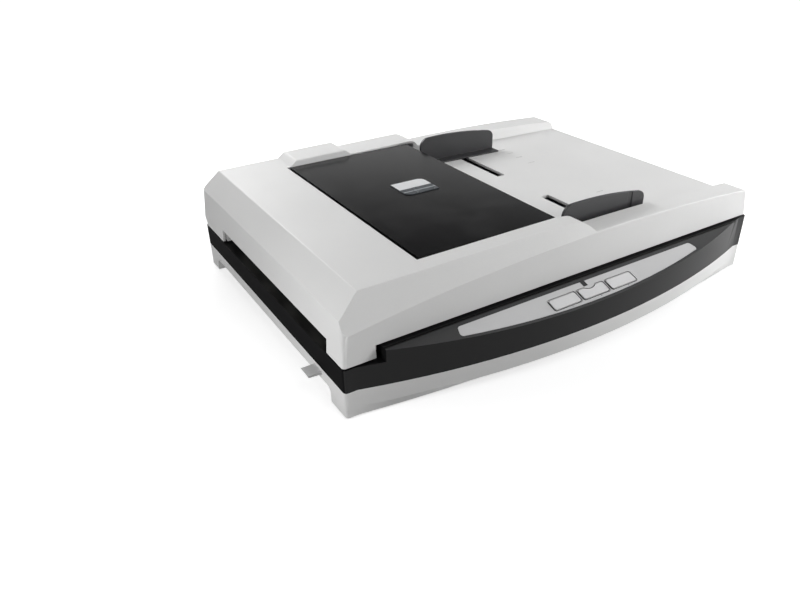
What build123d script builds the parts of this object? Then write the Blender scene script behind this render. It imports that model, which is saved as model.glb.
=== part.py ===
from build123d import *

import math
import os

# Document scanner: a flatbed base under a lid that holds a sheet feeder and its tray.
# Millimetres. X runs to the right along the casing, Y to the rear and Z up.
# The origin is the middle of the footprint, on the surface that the feet stand on.

os.makedirs("parts", exist_ok=True)

# Casing plan, round the glass
platen_length = 306.0
glass_depth = 226.0
platen_margin = 58.0
platen_end_margin = 91.0
glass_front_margin = 30.0
glass_rear_margin = 62.0
casing_width = platen_margin + platen_length + platen_end_margin
casing_depth = glass_front_margin + glass_depth + glass_rear_margin
bow_depth = 31.5
floor_bow = 17.0
exit_tab_reach = 12.0
corner_facet = 11.0
front_corner_radius = 3.0
rear_corner_radius = 8.0
smallest_radius = 0.6
left = (exit_tab_reach - casing_width) / 2
right = left + casing_width
front = (bow_depth - casing_depth) / 2
rear = front + casing_depth
middle = (left + right) / 2

# Casing heights
foot_height = 2.0
undercut_top = 11.0
band_bottom = 25.5
ledge_top = 46.2
rail_top = 57.0
lid_gap = 1.8
feeder_top = 101.0
side_lip = ledge_top + lid_gap
front_lip = rail_top + lid_gap

# Walls and clearances
wall = 2.4
floor_wall = 2.5
deck_thickness = 5.0
spare = 20.0
seat_gap = 0.2
slide_gap = 0.35
bore_gap = 0.05
touch_gap = 0.3

# Feet and screws
foot_radius = 7.0
foot_inset = 22.0
foot_pocket = 1.0
post_radius = 4.5
post_inset = 12.5
screw_radius = 1.5
screw_head_radius = 2.8
screw_head_height = 1.6
screw_grip = 8.0
lid_screw_head = 1.2

# Recess under the sheet exit, with the leg in front of it
recess_depth = 12.0
recess_height = 15.0
leg_length = 26.0
leg_radius = 5.0
exit_tab_width = 14.0
exit_tab_thickness = 3.0
exit_tab_root = 10.0
exit_tab_top = 22.0

# Fascia, rail and control panel
rail_width = 5.0
rail_rear_gap = 22.0
ridge_width = 8.0
notch_width = 33.0
fascia_slope = 0.34
groove_width = 1.2
groove_depth = 1.5
groove_inset = 2.6
panel_half_length = 135.0
panel_back = -3.2
panel_corner = -12.7
panel_front = -25.2
panel_end_lean = 3.0
panel_radius = 3.0
panel_thickness = 1.2
button_pitch = 32.0
button_length = 28.0
button_depth = 10.2
button_radius = 1.8
button_centre = -15.9
button_flange = 1.2
button_flange_thickness = 1.0
button_stem_radius = 2.0
button_stem_length = 3.0
button_travel = 0.8
button_rise = 0.5
button_edge_radius = 0.3
button_dip_radius = 9.0
button_dip_depth = 2.4
light_width = 2.6
light_length = 6.2
light_offset = -2.5
light_centre = -5.4
switch_size = 6.0
switch_height = 3.0
board_thickness = 1.6
button_board_margin = 9.0
button_board_depth = 15.0

# Flatbed: the feeder's glass strip, then the main glass
feed_centre = front + glass_front_margin + glass_depth / 2
glass_thickness = 3.0
glass_gap = 0.25
glass_flange = 3.5
platen_start = left + platen_margin
feed_glass_margin = 24.0
feed_glass_start = left + feed_glass_margin
feed_glass_width = 22.0
ramp_width = 9.0
ramp_height = 0.6
strip_thickness = 0.3

# Scan carriage on its rod
park_x = feed_glass_start + feed_glass_width / 2
carriage_width = 30.0
carriage_margin = 3.0
carriage_depth = glass_depth + 2 * carriage_margin
carriage_height = 15.0
carriage_wall = 1.6
carriage_floor = 2.0
carriage_headroom = 0.8
rod_radius = 4.0
rod_height = 16.0
bush_wall = 2.0
bush_length = 7.0
sleeve_half_length = 11.0
sleeve_half_depth = 8.0
clamp_length = 10.0
clip_width = 5.0
clip_half_depth = 8.0
rod_inset = 15.0
rod_end_inset = 57.0
rod_start = left + rod_inset
rod_length = casing_width - rod_inset - rod_end_inset
rail_inset = 8.0
rail_offset = glass_depth / 2 - rail_inset
rail_rib_width = 2.0
lens_width = 8.0
lens_inset = 3.0
lens_length = glass_depth - 2 * lens_inset
lamp_width = 5.0
lamp_offset = -8.5
scan_glass_thickness = 1.0

# Carriage drive: belt, pulleys and motor
belt_offset = 21.0
belt_height = 18.0
belt_width = 6.0
belt_thickness = 1.4
pulley_radius = 6.0
pulley_flange = 1.6
pulley_flange_thickness = 1.0
idler_inset = 24.0
drive_inset = 67.0
idler_x = left + idler_inset
drive_x = right - drive_inset
pin_radius = 2.0
drive_module = 0.8
drive_teeth = 36
pinion_teeth = 12
drive_gear_bottom = 24.0
drive_gear_width = 5.0
bracket_thickness = 1.5
scan_motor_radius = 10.0
scan_motor_height = 14.0
motor_shaft_radius = 1.5

# Main board and rear sockets
board_width = 70.0
board_depth = 96.0
board_inset = 20.0
board_height = 10.0
chip_size = 24.0
chip_height = 2.0
coil_size = 18.0
coil_height = 9.0
capacitor_pitch = 12.0
capacitor_height = 8.0
capacitor_radius = 3.2
usb_width = 12.0
usb_height = 11.0
usb_depth = 16.0
jack_width = 9.0
jack_height = 11.0
jack_depth = 14.0
jack_bore = 2.75
usb_offset = 46.0
jack_offset = 22.0
switch_offset = 92.0
rocker_width = 9.0
rocker_height = 13.0
rocker_depth = 4.0
switch_frame = 1.8
switch_body_depth = 14.0
rocker_pin_radius = 1.0
rocker_face = 3.5
rocker_taper = 0.4
rocker_dish = 0.5
rocker_tilt = 7.0

# Lid: its skirt, chamfers and tray
lid_draft = 4.5
chamfer_height = 15.0
chamfer_reach = 18.0
crease_radius = 2315.0
crease_peak = 90.0
crease_peak_offset = 35.5
crease_setback = 2.5
slope_top_setback = 14.0
block_width = 28.2
feeder_length = 232.0
feeder_end = left + feeder_length
feeder_end_run = 17.0
crease_peak_x = feeder_end + crease_peak_offset
rim_rise = 1.5
rim_width = 12.5
shoulder = 13.5
rear_rim_inset = 30.0
rim_drop = 10.0
well_lean = 3.0
tray_floor_start = 82.0
tray_floor_slope = 0.03
end_radius = 7.0
bevel_depth = 11.0
feeder_end_dip = 0.03
hump_lead = 143.0
hump_start = feeder_end - hump_lead
hump_length = 70.0
hump_depth = 34.0
hump_setback = 3.0
hump_front = rear - hump_depth - hump_setback
hump_height = 5.5
hump_lean = 7.0
exit_slot_height = 12.0
exit_slot_margin = 3.0
exit_slot_length = glass_depth + 2 * exit_slot_margin

# Feeder cover
cover_length = 145.0
cover_end_gap = 1.5
cover_front_margin = 32.0
cover_rear_margin = 39.0
cover_left = feeder_end - cover_end_gap - cover_length
cover_front = front + cover_front_margin
cover_depth = casing_depth - cover_front_margin - cover_rear_margin
cover_gap = 1.6
cover_thickness = 2.5
cover_bevel = 3.0
cover_rib = 5.0
cover_pin_inset = 6.0
cover_pin_drop = 3.5
cover_pin_radius = 1.5
cover_pin_reach = 4.0
cover_lug = 4.0
throat_length = 15.0
badge_width = 36.0
badge_depth = 31.0
badge_thickness = 0.8
badge_lead = 79.0
badge_setback = 129.0
badge_x = cover_left + badge_lead
badge_y = cover_front + badge_setback
badge_corner = 7.0
cover_fall = 1.5
cover_rim = 2.0
cover_rim_end = 12.0
cover_rib_spread = 60.0

# Sheet path inside the lid
bed_margin = 1.0
bed_half_depth = glass_depth / 2 + bed_margin
bed_thickness = 2.0
bed_foot_offset = 10.0
bed_foot_x = platen_start + bed_foot_offset
bed_end_gap = 0.5
bed_corner = 3.0
sheet_gap = 0.3
side_plate_inset = 8.0
side_plate_end_gap = 2.0
side_plate_start = left + side_plate_inset
side_plate_end = feeder_end - side_plate_end_gap
side_plate_gap = 1.0
side_plate_thickness = 2.0
feed_lead = 92.0
feed_x = feeder_end - feed_lead
feed_z = 82.0
feed_module = 1.0
feed_teeth = 28
feed_idler_teeth = 24
feed_pinion_teeth = 12
transport_run = 50.0
shaft_radius = 3.0
feed_roller_radius = 9.0
feed_roller_length = 14.0
feed_roller_offset = 11.0
transport_roller_length = 16.0
transport_roller_pitch = 52.0
transport_rollers = 4
gear_width = 6.0
gear_gap = 4.0
feed_motor_radius = 12.0
feed_motor_length = 20.0
feed_motor_angle = -50.0
motor_plate_thickness = 1.0
motor_post_radius = 2.5
motor_ear_radius = 4.0
motor_post_offsets = [(15.0, 0.0), (-9.0, -10.0)]
feeder_belt_width = 4.0
feeder_belt_thickness = 1.2
feeder_belt_gap = 4.0
exit_inset = 15.0
exit_x = left + exit_inset
exit_z = 57.4
exit_roller_radius = 7.0
exit_roller_length = 20.0
pick_reach = 32.0
pick_x = feed_x + pick_reach
pick_radius = 6.5
pick_roller_length = 16.0
pick_shaft_radius = 2.0
pick_pulley_radius = 4.5
pick_belt_thickness = 1.0
pick_belt_width = 3.0
arm_thickness = 3.0
arm_offset = 21.0
arm_root_radius = 6.0
arm_tip_radius = 4.5
arm_bridge = 5.0
pad_length = 12.0
pad_width = 40.0
pad_thickness = 1.2
window_plate_width = 18.0
window_plate_start = feed_glass_start + (feed_glass_width - window_plate_width) / 2
window_plate_height = 5.0
window_plate_gap = 0.7

# Sheet guides, their racks and pinion
guide_start_gap = 1.5
guide_start = feeder_end + guide_start_gap
guide_length = 100.0
guide_height = 26.4
guide_fall = 7.4
guide_lift = 0.25
guide_thickness = 3.0
guide_flange = 12.0
guide_flange_thickness = 1.5
guide_arch = 3.2
guide_groove = 6.0
guide_groove_depth = 0.8
guide_groove_offset = 81.0
guide_groove_x = guide_start + guide_groove_offset
guide_left_radius = 10.0
guide_right_radius = 8.0
guide_travel = 68.0
front_guide_inset = 2.4
rear_guide_reach = 0.8
guide_pinion_offset = 51.5
front_guide_y = feed_centre - glass_depth / 2 + front_guide_inset
rear_guide_y = feed_centre + glass_depth / 2 + rear_guide_reach
guide_pinion_x = guide_start + guide_pinion_offset
guide_pinion_teeth = 16
guide_module = 1.0
rack_bottom = 68.0
rack_height = 4.0
rack_width = 6.0
rack_overlap = 12.0
guide_foot_length = 8.0
guide_slot_margin = 1.0
pinion_thickness = 5.0
pinion_boss_radius = 6.0
pinion_boss_height = 6.0

# Lid underside and hinges
pan_thickness = 1.6
pan_rim = 2.0
pan_rim_top = 60.0
pan_gap = 1.5
pad_foam = 1.4
gusset_width = 8.0
gusset_lead = 17.0
gusset_spread = 80.0
gusset_inset = 20.0
front_gusset_step = 105.0
rear_gusset_inset = 30.0
gusset_reach = 21.0
gusset_rear_reach = 31.0
hinge_setback = 8.0
hinge_rise = 2.8
hinge_inset = 130.0
knuckle_radius = 5.0
hinge_height = ledge_top + knuckle_radius + hinge_rise
leg_shoulder = hinge_height - knuckle_radius - hinge_rise / 2
knuckle_width = 12.0
leaf_width = 30.0
leaf_length = 42.0
leaf_thickness = 2.0
hinge_pin_radius = 2.0
leg_width = 16.0
leg_depth = 6.0
leg_bottom = 12.0
socket_wall = 2.0


def casing_plan(inset, bow):
    """Draws the casing's plan, inset all round, with its front bowed out."""
    facet_left = left + corner_facet
    facet_right = right - corner_facet
    edge = front + inset
    with BuildLine() as border:
        Polyline((facet_left, edge), (left + inset, edge), (left + inset, rear - inset),
                 (right - inset, rear - inset), (right - inset, edge), (facet_right, edge))
        ThreePointArc((facet_right, edge), (middle, edge - bow), (facet_left, edge))
    make_face(border.edges())
    fillet(vertices().group_by(Axis.Y)[-1], max(rear_corner_radius - inset, smallest_radius))
    front_points = vertices().filter_by_position(Axis.Y, edge - 0.1, edge + 0.1).sort_by(Axis.X)
    fillet([front_points[0], front_points[-1]], max(front_corner_radius - inset, smallest_radius))


def section_plane(y):
    """A plane across the casing at y, whose sketch has X to the right and Y up."""
    return Plane(origin=(0, y, 0), x_dir=(1, 0, 0), z_dir=(0, -1, 0))


def block(low, high, mode=Mode.ADD):
    """A box between two opposite corners."""
    size = [high[axis] - low[axis] for axis in range(3)]
    centre = [(high[axis] + low[axis]) / 2 for axis in range(3)]
    with Locations(tuple(centre)):
        Box(*size, mode=mode)


def upright(x, y, bottom, top, radius, mode=Mode.ADD):
    """An upright cylinder from bottom to top."""
    with Locations((x, y, bottom)):
        Cylinder(radius, top - bottom, align=(Align.CENTER, Align.CENTER, Align.MIN), mode=mode)


def crosswise(x, z, start, end, radius, mode=Mode.ADD):
    """A cylinder along Y, from start to end."""
    with Locations((x, (start + end) / 2, z)):
        Cylinder(radius, end - start, rotation=(90, 0, 0), mode=mode)


def lengthwise(y, z, start, end, radius, mode=Mode.ADD):
    """A cylinder along X, from start to end."""
    with Locations(((start + end) / 2, y, z)):
        Cylinder(radius, end - start, rotation=(0, 90, 0), mode=mode)


def outline(*points):
    """Draws a closed outline through points."""
    with BuildLine() as border:
        Polyline(*points, close=True)
    make_face(border.edges())


def gear_outline(centre, teeth, module, phase):
    """Draws a spur gear about centre, with one tooth at the angle phase."""
    pitch = module * teeth / 2
    root = pitch - 1.15 * module
    tip = pitch + 0.85 * module
    points = []
    for tooth in range(teeth):
        for turn, radius in ((-0.29, root), (-0.12, tip), (0.12, tip), (0.29, root)):
            angle = phase + 2 * math.pi * (tooth + turn) / teeth
            points.append((centre[0] + radius * math.cos(angle), centre[1] + radius * math.sin(angle)))
    outline(*points)


def meshing_phase(phase, teeth, other_teeth, direction):
    """The phase of a gear that meshes with one of the given phase, seen along direction."""
    lead = phase - direction
    return direction + math.pi + math.pi / other_teeth - lead * teeth / other_teeth


def save(builder, name):
    """Labels a finished piece and writes it."""
    builder.part.label = name
    export_step(builder.part, f"parts/{name}.step")


# Base tray: the white lower casing
post_places = [(x, y) for y in (front + post_inset, rear - post_inset)
               for x in (left + 2 * foot_inset, middle, right - post_inset)]
foot_places = [(x, y) for y in (front + foot_inset, rear - foot_inset)
               for x in (left + foot_inset + recess_depth, right - foot_inset)]
tray_floor = foot_height + floor_wall
board_right = right - board_inset
board_left = board_right - board_width
board_rear = rear - wall - 1.0
board_front = board_rear - board_depth
board_posts = [(x, y) for x in (board_left + 5.0, board_right - 5.0)
               for y in (board_front + 5.0, board_rear - 20.0)]
usb_x = board_right - usb_offset
jack_x = board_right - jack_offset
switch_x = board_right - switch_offset
socket_floor = board_height + board_thickness
switch_bottom = board_height - 3.0
switch_top_edge = switch_bottom + rocker_height
exit_tab_y = front + leg_length + exit_tab_width
hinge_places = [left + hinge_inset, right - hinge_inset]
hinge_y = rear - hinge_setback

with BuildPart() as base_tray:
    with BuildSketch(Plane.XY.offset(foot_height)):
        casing_plan(0, floor_bow)
    with BuildSketch(Plane.XY.offset(undercut_top)):
        casing_plan(0, bow_depth)
    loft()
    with BuildSketch(Plane.XY.offset(undercut_top)):
        casing_plan(0, bow_depth)
    extrude(amount=band_bottom - undercut_top)
    with BuildSketch(Plane.XY.offset(tray_floor)):
        casing_plan(wall, floor_bow)
    extrude(amount=band_bottom, mode=Mode.SUBTRACT)
    with BuildSketch(Plane.XY.offset(undercut_top + wall)):
        casing_plan(wall, bow_depth)
    extrude(amount=band_bottom, mode=Mode.SUBTRACT)
    # The side is recessed under the sheet exit, behind a leg at each end
    block((left, front + leg_length - wall, foot_height),
          (left + recess_depth + wall, rear - leg_length + wall, recess_height + wall))
    with BuildSketch(Plane.YZ.offset(left - 1)):
        outline((front + leg_length, 0), (front + leg_length, recess_height),
                (rear - leg_length, recess_height), (rear - leg_length, 0))
        fillet(vertices().group_by(Axis.Y)[-1], leg_radius)
    extrude(amount=recess_depth + 1, mode=Mode.SUBTRACT)
    # Posts for the screws that hold the upper frame, and for the main board
    with BuildSketch(Plane.XY.offset(foot_height)):
        with Locations(*post_places):
            Circle(post_radius)
    extrude(amount=band_bottom - foot_height)
    with BuildSketch(Plane.XY.offset(foot_height)):
        with Locations(*board_posts):
            Circle(post_radius)
    extrude(amount=board_height - foot_height)
    with Locations(*[(x, y, foot_height) for x, y in post_places]):
        Hole(screw_radius + bore_gap, depth=2 * band_bottom)
        Cylinder(screw_head_radius + bore_gap, 2 * screw_head_height, mode=Mode.SUBTRACT)
    with Locations(*[(x, y, foot_height) for x, y in foot_places]):
        Cylinder(foot_radius, 2 * foot_pocket, mode=Mode.SUBTRACT)
    # A rib that carries the carriage's far end
    rib_top = ledge_top - deck_thickness - carriage_headroom - carriage_height - seat_gap
    block((left + recess_depth + wall, feed_centre + rail_offset, tray_floor - 0.5),
          (board_left - 1.0, feed_centre + rail_offset + rail_rib_width, rib_top))
    # A slot for the exit tab, and rear openings for the sockets and the power switch
    block((left - 1, exit_tab_y - bore_gap, exit_tab_top - exit_tab_thickness - bore_gap),
          (left + exit_tab_root + wall, exit_tab_y + exit_tab_width + bore_gap, exit_tab_top + bore_gap),
          Mode.SUBTRACT)
    block((usb_x - usb_width / 2 - slide_gap, rear - 2 * wall, socket_floor - slide_gap),
          (usb_x + usb_width / 2 + slide_gap, rear + 1, socket_floor + usb_height + slide_gap), Mode.SUBTRACT)
    block((jack_x - jack_width / 2 - slide_gap, rear - 2 * wall, socket_floor - slide_gap),
          (jack_x + jack_width / 2 + slide_gap, rear + 1, socket_floor + jack_height + slide_gap),
          Mode.SUBTRACT)
    block((switch_x - rocker_width / 2 - switch_frame, rear - 2 * wall, switch_bottom),
          (switch_x + rocker_width / 2 + switch_frame, rear + 1, switch_top_edge), Mode.SUBTRACT)
save(base_tray, "base_tray")

# Upper frame: the black band, the fascia and the deck round the glass
fascia_back = front - rail_width
fascia = Plane(origin=(middle, fascia_back, rail_top), x_dir=(1, 0, 0), z_dir=(0, -fascia_slope, 1))
deck_bottom = ledge_top - deck_thickness
button_places = [((step - 1) * button_pitch, button_centre) for step in range(3)]
stem_bottom = -(wall + seat_gap + button_flange_thickness + button_stem_length)
switch_top = stem_bottom - button_travel - slide_gap
button_board_top = switch_top - switch_height
board_pillar_x = button_pitch + button_length / 2 + button_board_margin / 2


def frame_form(inset):
    """The upper frame's solid form, inset all round and open below."""
    fascia_drop = inset * math.hypot(1, fascia_slope)
    slab = deck_thickness if inset else 0
    front_end = front - bow_depth - 1
    fascia_end = rail_top - fascia_drop - fascia_slope * (fascia_back - front_end)
    with BuildPart() as form:
        with BuildSketch(Plane.XY.offset(band_bottom)):
            casing_plan(inset, bow_depth)
        extrude(amount=rail_top - inset - band_bottom)
        with BuildSketch(Plane.YZ.offset(left - 1)):
            outline((fascia_back, rail_top + 1), (fascia_back, rail_top - fascia_drop),
                    (front_end, fascia_end), (front_end, rail_top + 1))
        extrude(amount=casing_width + 2, mode=Mode.SUBTRACT)
        block((left - 1, front + ridge_width - inset, ledge_top - slab),
              (right - ridge_width + inset, rear + 1, rail_top + 1), Mode.SUBTRACT)
        block((left - 1, front_end, ledge_top - slab),
              (left + notch_width + inset, front + ridge_width + 1, rail_top + 1), Mode.SUBTRACT)
        # The rail along the right stops ahead of the hinges, where the opened lid dips
        block((right - ridge_width - 1, rear - rail_rear_gap - inset, ledge_top - slab),
              (right + 1, rear + 1, rail_top + 1), Mode.SUBTRACT)
    return form.part


def cut_glass_seat(start, length):
    """Cuts the rebate that a glass lies in and the opening inside its flange."""
    half = glass_depth / 2
    block((start - glass_gap, feed_centre - half - glass_gap, ledge_top - glass_thickness),
          (start + length + glass_gap, feed_centre + half + glass_gap, ledge_top + 1), Mode.SUBTRACT)
    block((start + glass_flange, feed_centre - half + glass_flange, deck_bottom - 1),
          (start + length - glass_flange, feed_centre + half - glass_flange, ledge_top + 1), Mode.SUBTRACT)


def panel_outline(inset):
    """Draws the lens-shaped control panel on the fascia."""
    half_back = panel_half_length - panel_end_lean - inset
    half_front = panel_half_length - inset
    with BuildLine() as border:
        Polyline((-half_front, panel_corner + inset), (-half_back, panel_back - inset),
                 (half_back, panel_back - inset), (half_front, panel_corner + inset))
        ThreePointArc((half_front, panel_corner + inset), (0, panel_front + inset),
                      (-half_front, panel_corner + inset))
    make_face(border.edges())
    fillet(vertices(), panel_radius)


def button_outline(place, grow):
    """Draws a button at its place; the middle one has a dip in its back edge."""
    with Locations(place):
        RectangleRounded(button_length + 2 * grow, button_depth + 2 * grow, button_radius)
    if place[0] == 0:
        back = place[1] + button_depth / 2
        with Locations((0, back + button_dip_radius - button_dip_depth)):
            Circle(button_dip_radius - grow, mode=Mode.SUBTRACT)


def frame_posts(radius, mode=Mode.ADD):
    """Draws the screw posts under the deck."""
    with Locations(*post_places):
        Circle(radius, mode=mode)


outer_frame = frame_form(0)
inner_frame = frame_form(wall)
ramp_middle = (feed_glass_start + feed_glass_width + platen_start) / 2
leg_gap_x = leg_width / 2 + slide_gap + socket_wall
leg_gap_y = leg_depth / 2 + slide_gap + socket_wall

with BuildPart() as upper_frame:
    add(outer_frame)
    add(inner_frame, mode=Mode.SUBTRACT)
    cut_glass_seat(platen_start, platen_length)
    cut_glass_seat(feed_glass_start, feed_glass_width)
    # A low ramp lifts each sheet off the feeder's glass strip
    with BuildSketch(section_plane(feed_centre + glass_depth / 2)):
        outline((ramp_middle - ramp_width / 2, ledge_top - strip_thickness),
                (ramp_middle + ramp_width / 2, ledge_top - strip_thickness),
                (ramp_middle + ramp_width / 2, ledge_top + ramp_height),
                (ramp_middle - ramp_width / 4, ledge_top + ramp_height),
                (ramp_middle - ramp_width / 2, ledge_top))
    extrude(amount=glass_depth)
    # A groove runs along the rail
    block((left + notch_width - 1, front - groove_inset - groove_width, rail_top - groove_depth),
          (right + 1, front - groove_inset, rail_top + 1), Mode.SUBTRACT)
    # Control panel, buttons and indicator
    with BuildSketch(fascia):
        panel_outline(0)
    extrude(amount=-panel_thickness, mode=Mode.SUBTRACT)
    for place in button_places:
        with BuildSketch(fascia):
            button_outline(place, slide_gap)
        extrude(amount=-2 * wall, mode=Mode.SUBTRACT)
    with BuildSketch(fascia):
        with Locations((light_offset, light_centre)):
            Rectangle(light_width, light_length)
    extrude(amount=-2 * wall, mode=Mode.SUBTRACT)
    with BuildSketch(fascia.offset(-wall + seat_gap)):
        with Locations((-board_pillar_x, button_centre), (board_pillar_x, button_centre)):
            Circle(post_radius / 2)
    extrude(amount=button_board_top + wall - seat_gap)
    # Screw posts, and the wells of the hinge sockets
    with BuildSketch(Plane.XY.offset(band_bottom)):
        frame_posts(post_radius)
        frame_posts(screw_radius, Mode.SUBTRACT)
    extrude(amount=deck_bottom - band_bottom)
    for hinge_x in hinge_places:
        block((hinge_x - leg_gap_x, hinge_y - leg_gap_y, deck_bottom - 1),
              (hinge_x + leg_gap_x, hinge_y + leg_gap_y, ledge_top + 1), Mode.SUBTRACT)
save(upper_frame, "upper_frame")

with BuildPart() as platen_glass:
    block((platen_start, feed_centre - glass_depth / 2, ledge_top - glass_thickness),
          (platen_start + platen_length, feed_centre + glass_depth / 2, ledge_top))
save(platen_glass, "platen_glass")

with BuildPart() as feed_glass:
    block((feed_glass_start, feed_centre - glass_depth / 2, ledge_top - glass_thickness),
          (feed_glass_start + feed_glass_width, feed_centre + glass_depth / 2, ledge_top))
save(feed_glass, "feed_glass")

with BuildPart() as calibration_strip:
    block((ramp_middle - ramp_width / 2, feed_centre - glass_depth / 2, deck_bottom - strip_thickness),
          (ramp_middle + ramp_width / 2, feed_centre + glass_depth / 2, deck_bottom))
save(calibration_strip, "calibration_strip")

# Control panel, its buttons and the indicator
with BuildPart() as control_panel:
    with BuildSketch(fascia):
        panel_outline(seat_gap / 2)
    extrude(amount=-panel_thickness)
    for place in button_places:
        with BuildSketch(fascia):
            button_outline(place, slide_gap)
        extrude(amount=-2 * panel_thickness, mode=Mode.SUBTRACT)
    with BuildSketch(fascia):
        with Locations((light_offset, light_centre)):
            Rectangle(light_width, light_length)
    extrude(amount=-2 * panel_thickness, mode=Mode.SUBTRACT)
save(control_panel, "control_panel")

for place, button_name in zip(button_places, ("button_left", "button_middle", "button_right")):
    with BuildPart() as button:
        with BuildSketch(fascia.offset(button_rise)):
            button_outline(place, 0)
        extrude(amount=-(button_rise + wall + seat_gap + button_flange_thickness))
        top_edges = button.faces().sort_by(Axis((0, 0, 0), tuple(fascia.z_dir)))[-1].edges()
        fillet(top_edges, button_edge_radius)
        with BuildSketch(fascia.offset(-wall - seat_gap)):
            button_outline(place, button_flange)
        extrude(amount=-button_flange_thickness)
        with BuildSketch(fascia.offset(-wall - seat_gap - button_flange_thickness)):
            with Locations(place):
                Circle(button_stem_radius)
        extrude(amount=-button_stem_length)
    save(button, button_name)

with BuildPart() as status_light:
    with BuildSketch(fascia.offset(-seat_gap)):
        with Locations((light_offset, light_centre)):
            Rectangle(light_width - seat_gap, light_length - seat_gap)
    extrude(amount=-wall)
save(status_light, "status_light")

with BuildPart() as button_board:
    with BuildSketch(fascia.offset(button_board_top)):
        with Locations((0, button_centre)):
            Rectangle(2 * board_pillar_x + button_board_margin, button_board_depth)
    extrude(amount=-board_thickness)
    with BuildSketch(fascia.offset(button_board_top)):
        with Locations(*button_places):
            Rectangle(switch_size, switch_size)
    extrude(amount=switch_height * 0.6)
    with BuildSketch(fascia.offset(button_board_top)):
        with Locations(*button_places):
            Circle(button_stem_radius)
    extrude(amount=switch_height)
save(button_board, "button_board")

# Scan carriage: a shell on a rod, with the lamp, lens and sensor board
carriage_top = deck_bottom - carriage_headroom
carriage_bottom = carriage_top - carriage_height
bush_radius = rod_radius + bore_gap + bush_wall
sleeve_bottom = rod_height - sleeve_half_depth + 1.0
sensor_board_bottom = carriage_bottom + carriage_floor
sensor_board_top = sensor_board_bottom + board_thickness
scan_glass_bottom = carriage_top - scan_glass_thickness - seat_gap
belt_run_y = feed_centre + belt_offset - pulley_radius - belt_thickness / 2
belt_tunnel = belt_thickness / 2 + touch_gap
carriage_inside_width = carriage_width / 2 - carriage_wall - seat_gap
carriage_inside_depth = carriage_depth / 2 - carriage_wall - seat_gap


def carriage_block(half_width, half_depth, bottom, top, mode=Mode.ADD):
    """A box about the middle of the parked carriage."""
    block((park_x - half_width, feed_centre - half_depth, bottom),
          (park_x + half_width, feed_centre + half_depth, top), mode)


with BuildPart() as carriage_shell:
    carriage_block(carriage_width / 2, carriage_depth / 2, carriage_bottom, carriage_top)
    carriage_block(carriage_width / 2 - carriage_wall, carriage_depth / 2 - carriage_wall,
                   sensor_board_bottom, carriage_top + 1, Mode.SUBTRACT)
    carriage_block(sleeve_half_length, sleeve_half_depth, sleeve_bottom, carriage_bottom)
    block((park_x + sleeve_half_length - clamp_length, belt_run_y - belt_tunnel - carriage_wall,
           belt_height - belt_width / 2 - touch_gap - carriage_wall),
          (park_x + sleeve_half_length, belt_run_y + belt_tunnel + carriage_wall, carriage_bottom))
    block((park_x - carriage_width, belt_run_y - belt_tunnel, belt_height - belt_width / 2 - touch_gap),
          (park_x + carriage_width, belt_run_y + belt_tunnel, belt_height + belt_width / 2 + touch_gap),
          Mode.SUBTRACT)
    with BuildSketch(Plane.YZ.offset(park_x - carriage_width)):
        with Locations((feed_centre, rod_height)):
            Circle(bush_radius)
    extrude(amount=2 * carriage_width, mode=Mode.SUBTRACT)
save(carriage_shell, "carriage_shell")

with BuildPart() as carriage_bushes:
    for end in (-1, 1):
        bush_start = park_x + (-sleeve_half_length if end < 0 else sleeve_half_length - bush_length)
        with BuildSketch(Plane.YZ.offset(bush_start)):
            with Locations((feed_centre, rod_height)):
                Circle(bush_radius - bore_gap / 2)
                Circle(rod_radius + bore_gap, mode=Mode.SUBTRACT)
        extrude(amount=bush_length)
save(carriage_bushes, "carriage_bushes")

with BuildPart() as sensor_board:
    carriage_block(carriage_inside_width, carriage_inside_depth, sensor_board_bottom, sensor_board_top)
save(sensor_board, "sensor_board")

with BuildPart() as lens_array:
    carriage_block(lens_width / 2, lens_length / 2, sensor_board_top, scan_glass_bottom)
save(lens_array, "lens_array")

with BuildPart() as scan_lamp:
    block((park_x + lamp_offset - lamp_width / 2, feed_centre - lens_length / 2, sensor_board_top),
          (park_x + lamp_offset + lamp_width / 2, feed_centre + lens_length / 2, scan_glass_bottom))
save(scan_lamp, "scan_lamp")

with BuildPart() as scan_glass:
    carriage_block(carriage_inside_width, carriage_inside_depth, scan_glass_bottom,
                   scan_glass_bottom + scan_glass_thickness)
save(scan_glass, "scan_glass")

# Rod and its clips
with BuildPart() as guide_rod:
    with BuildSketch(Plane.YZ.offset(rod_start)):
        with Locations((feed_centre, rod_height)):
            Circle(rod_radius)
    extrude(amount=rod_length)
save(guide_rod, "guide_rod")

with BuildPart() as rod_clips:
    for clip_start in (rod_start, rod_start + rod_length - clip_width):
        block((clip_start, feed_centre - clip_half_depth, tray_floor),
              (clip_start + clip_width, feed_centre + clip_half_depth, rod_height + rod_radius / 2))
    with BuildSketch(Plane.YZ.offset(rod_start - 1)):
        with Locations((feed_centre, rod_height)):
            Circle(rod_radius + bore_gap)
    extrude(amount=rod_length + 2, mode=Mode.SUBTRACT)
save(rod_clips, "rod_clips")

# Belt drive: a drive pulley with a gear, an idler pulley, and the motor
belt_y = feed_centre + belt_offset
belt_bottom = belt_height - belt_width / 2
drive_gear_top = drive_gear_bottom + drive_gear_width
drive_mesh_phase = meshing_phase(0, drive_teeth, pinion_teeth, 0)
motor_x = drive_x + drive_module * (drive_teeth + pinion_teeth) / 2
bracket_top = tray_floor + bracket_thickness


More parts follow.
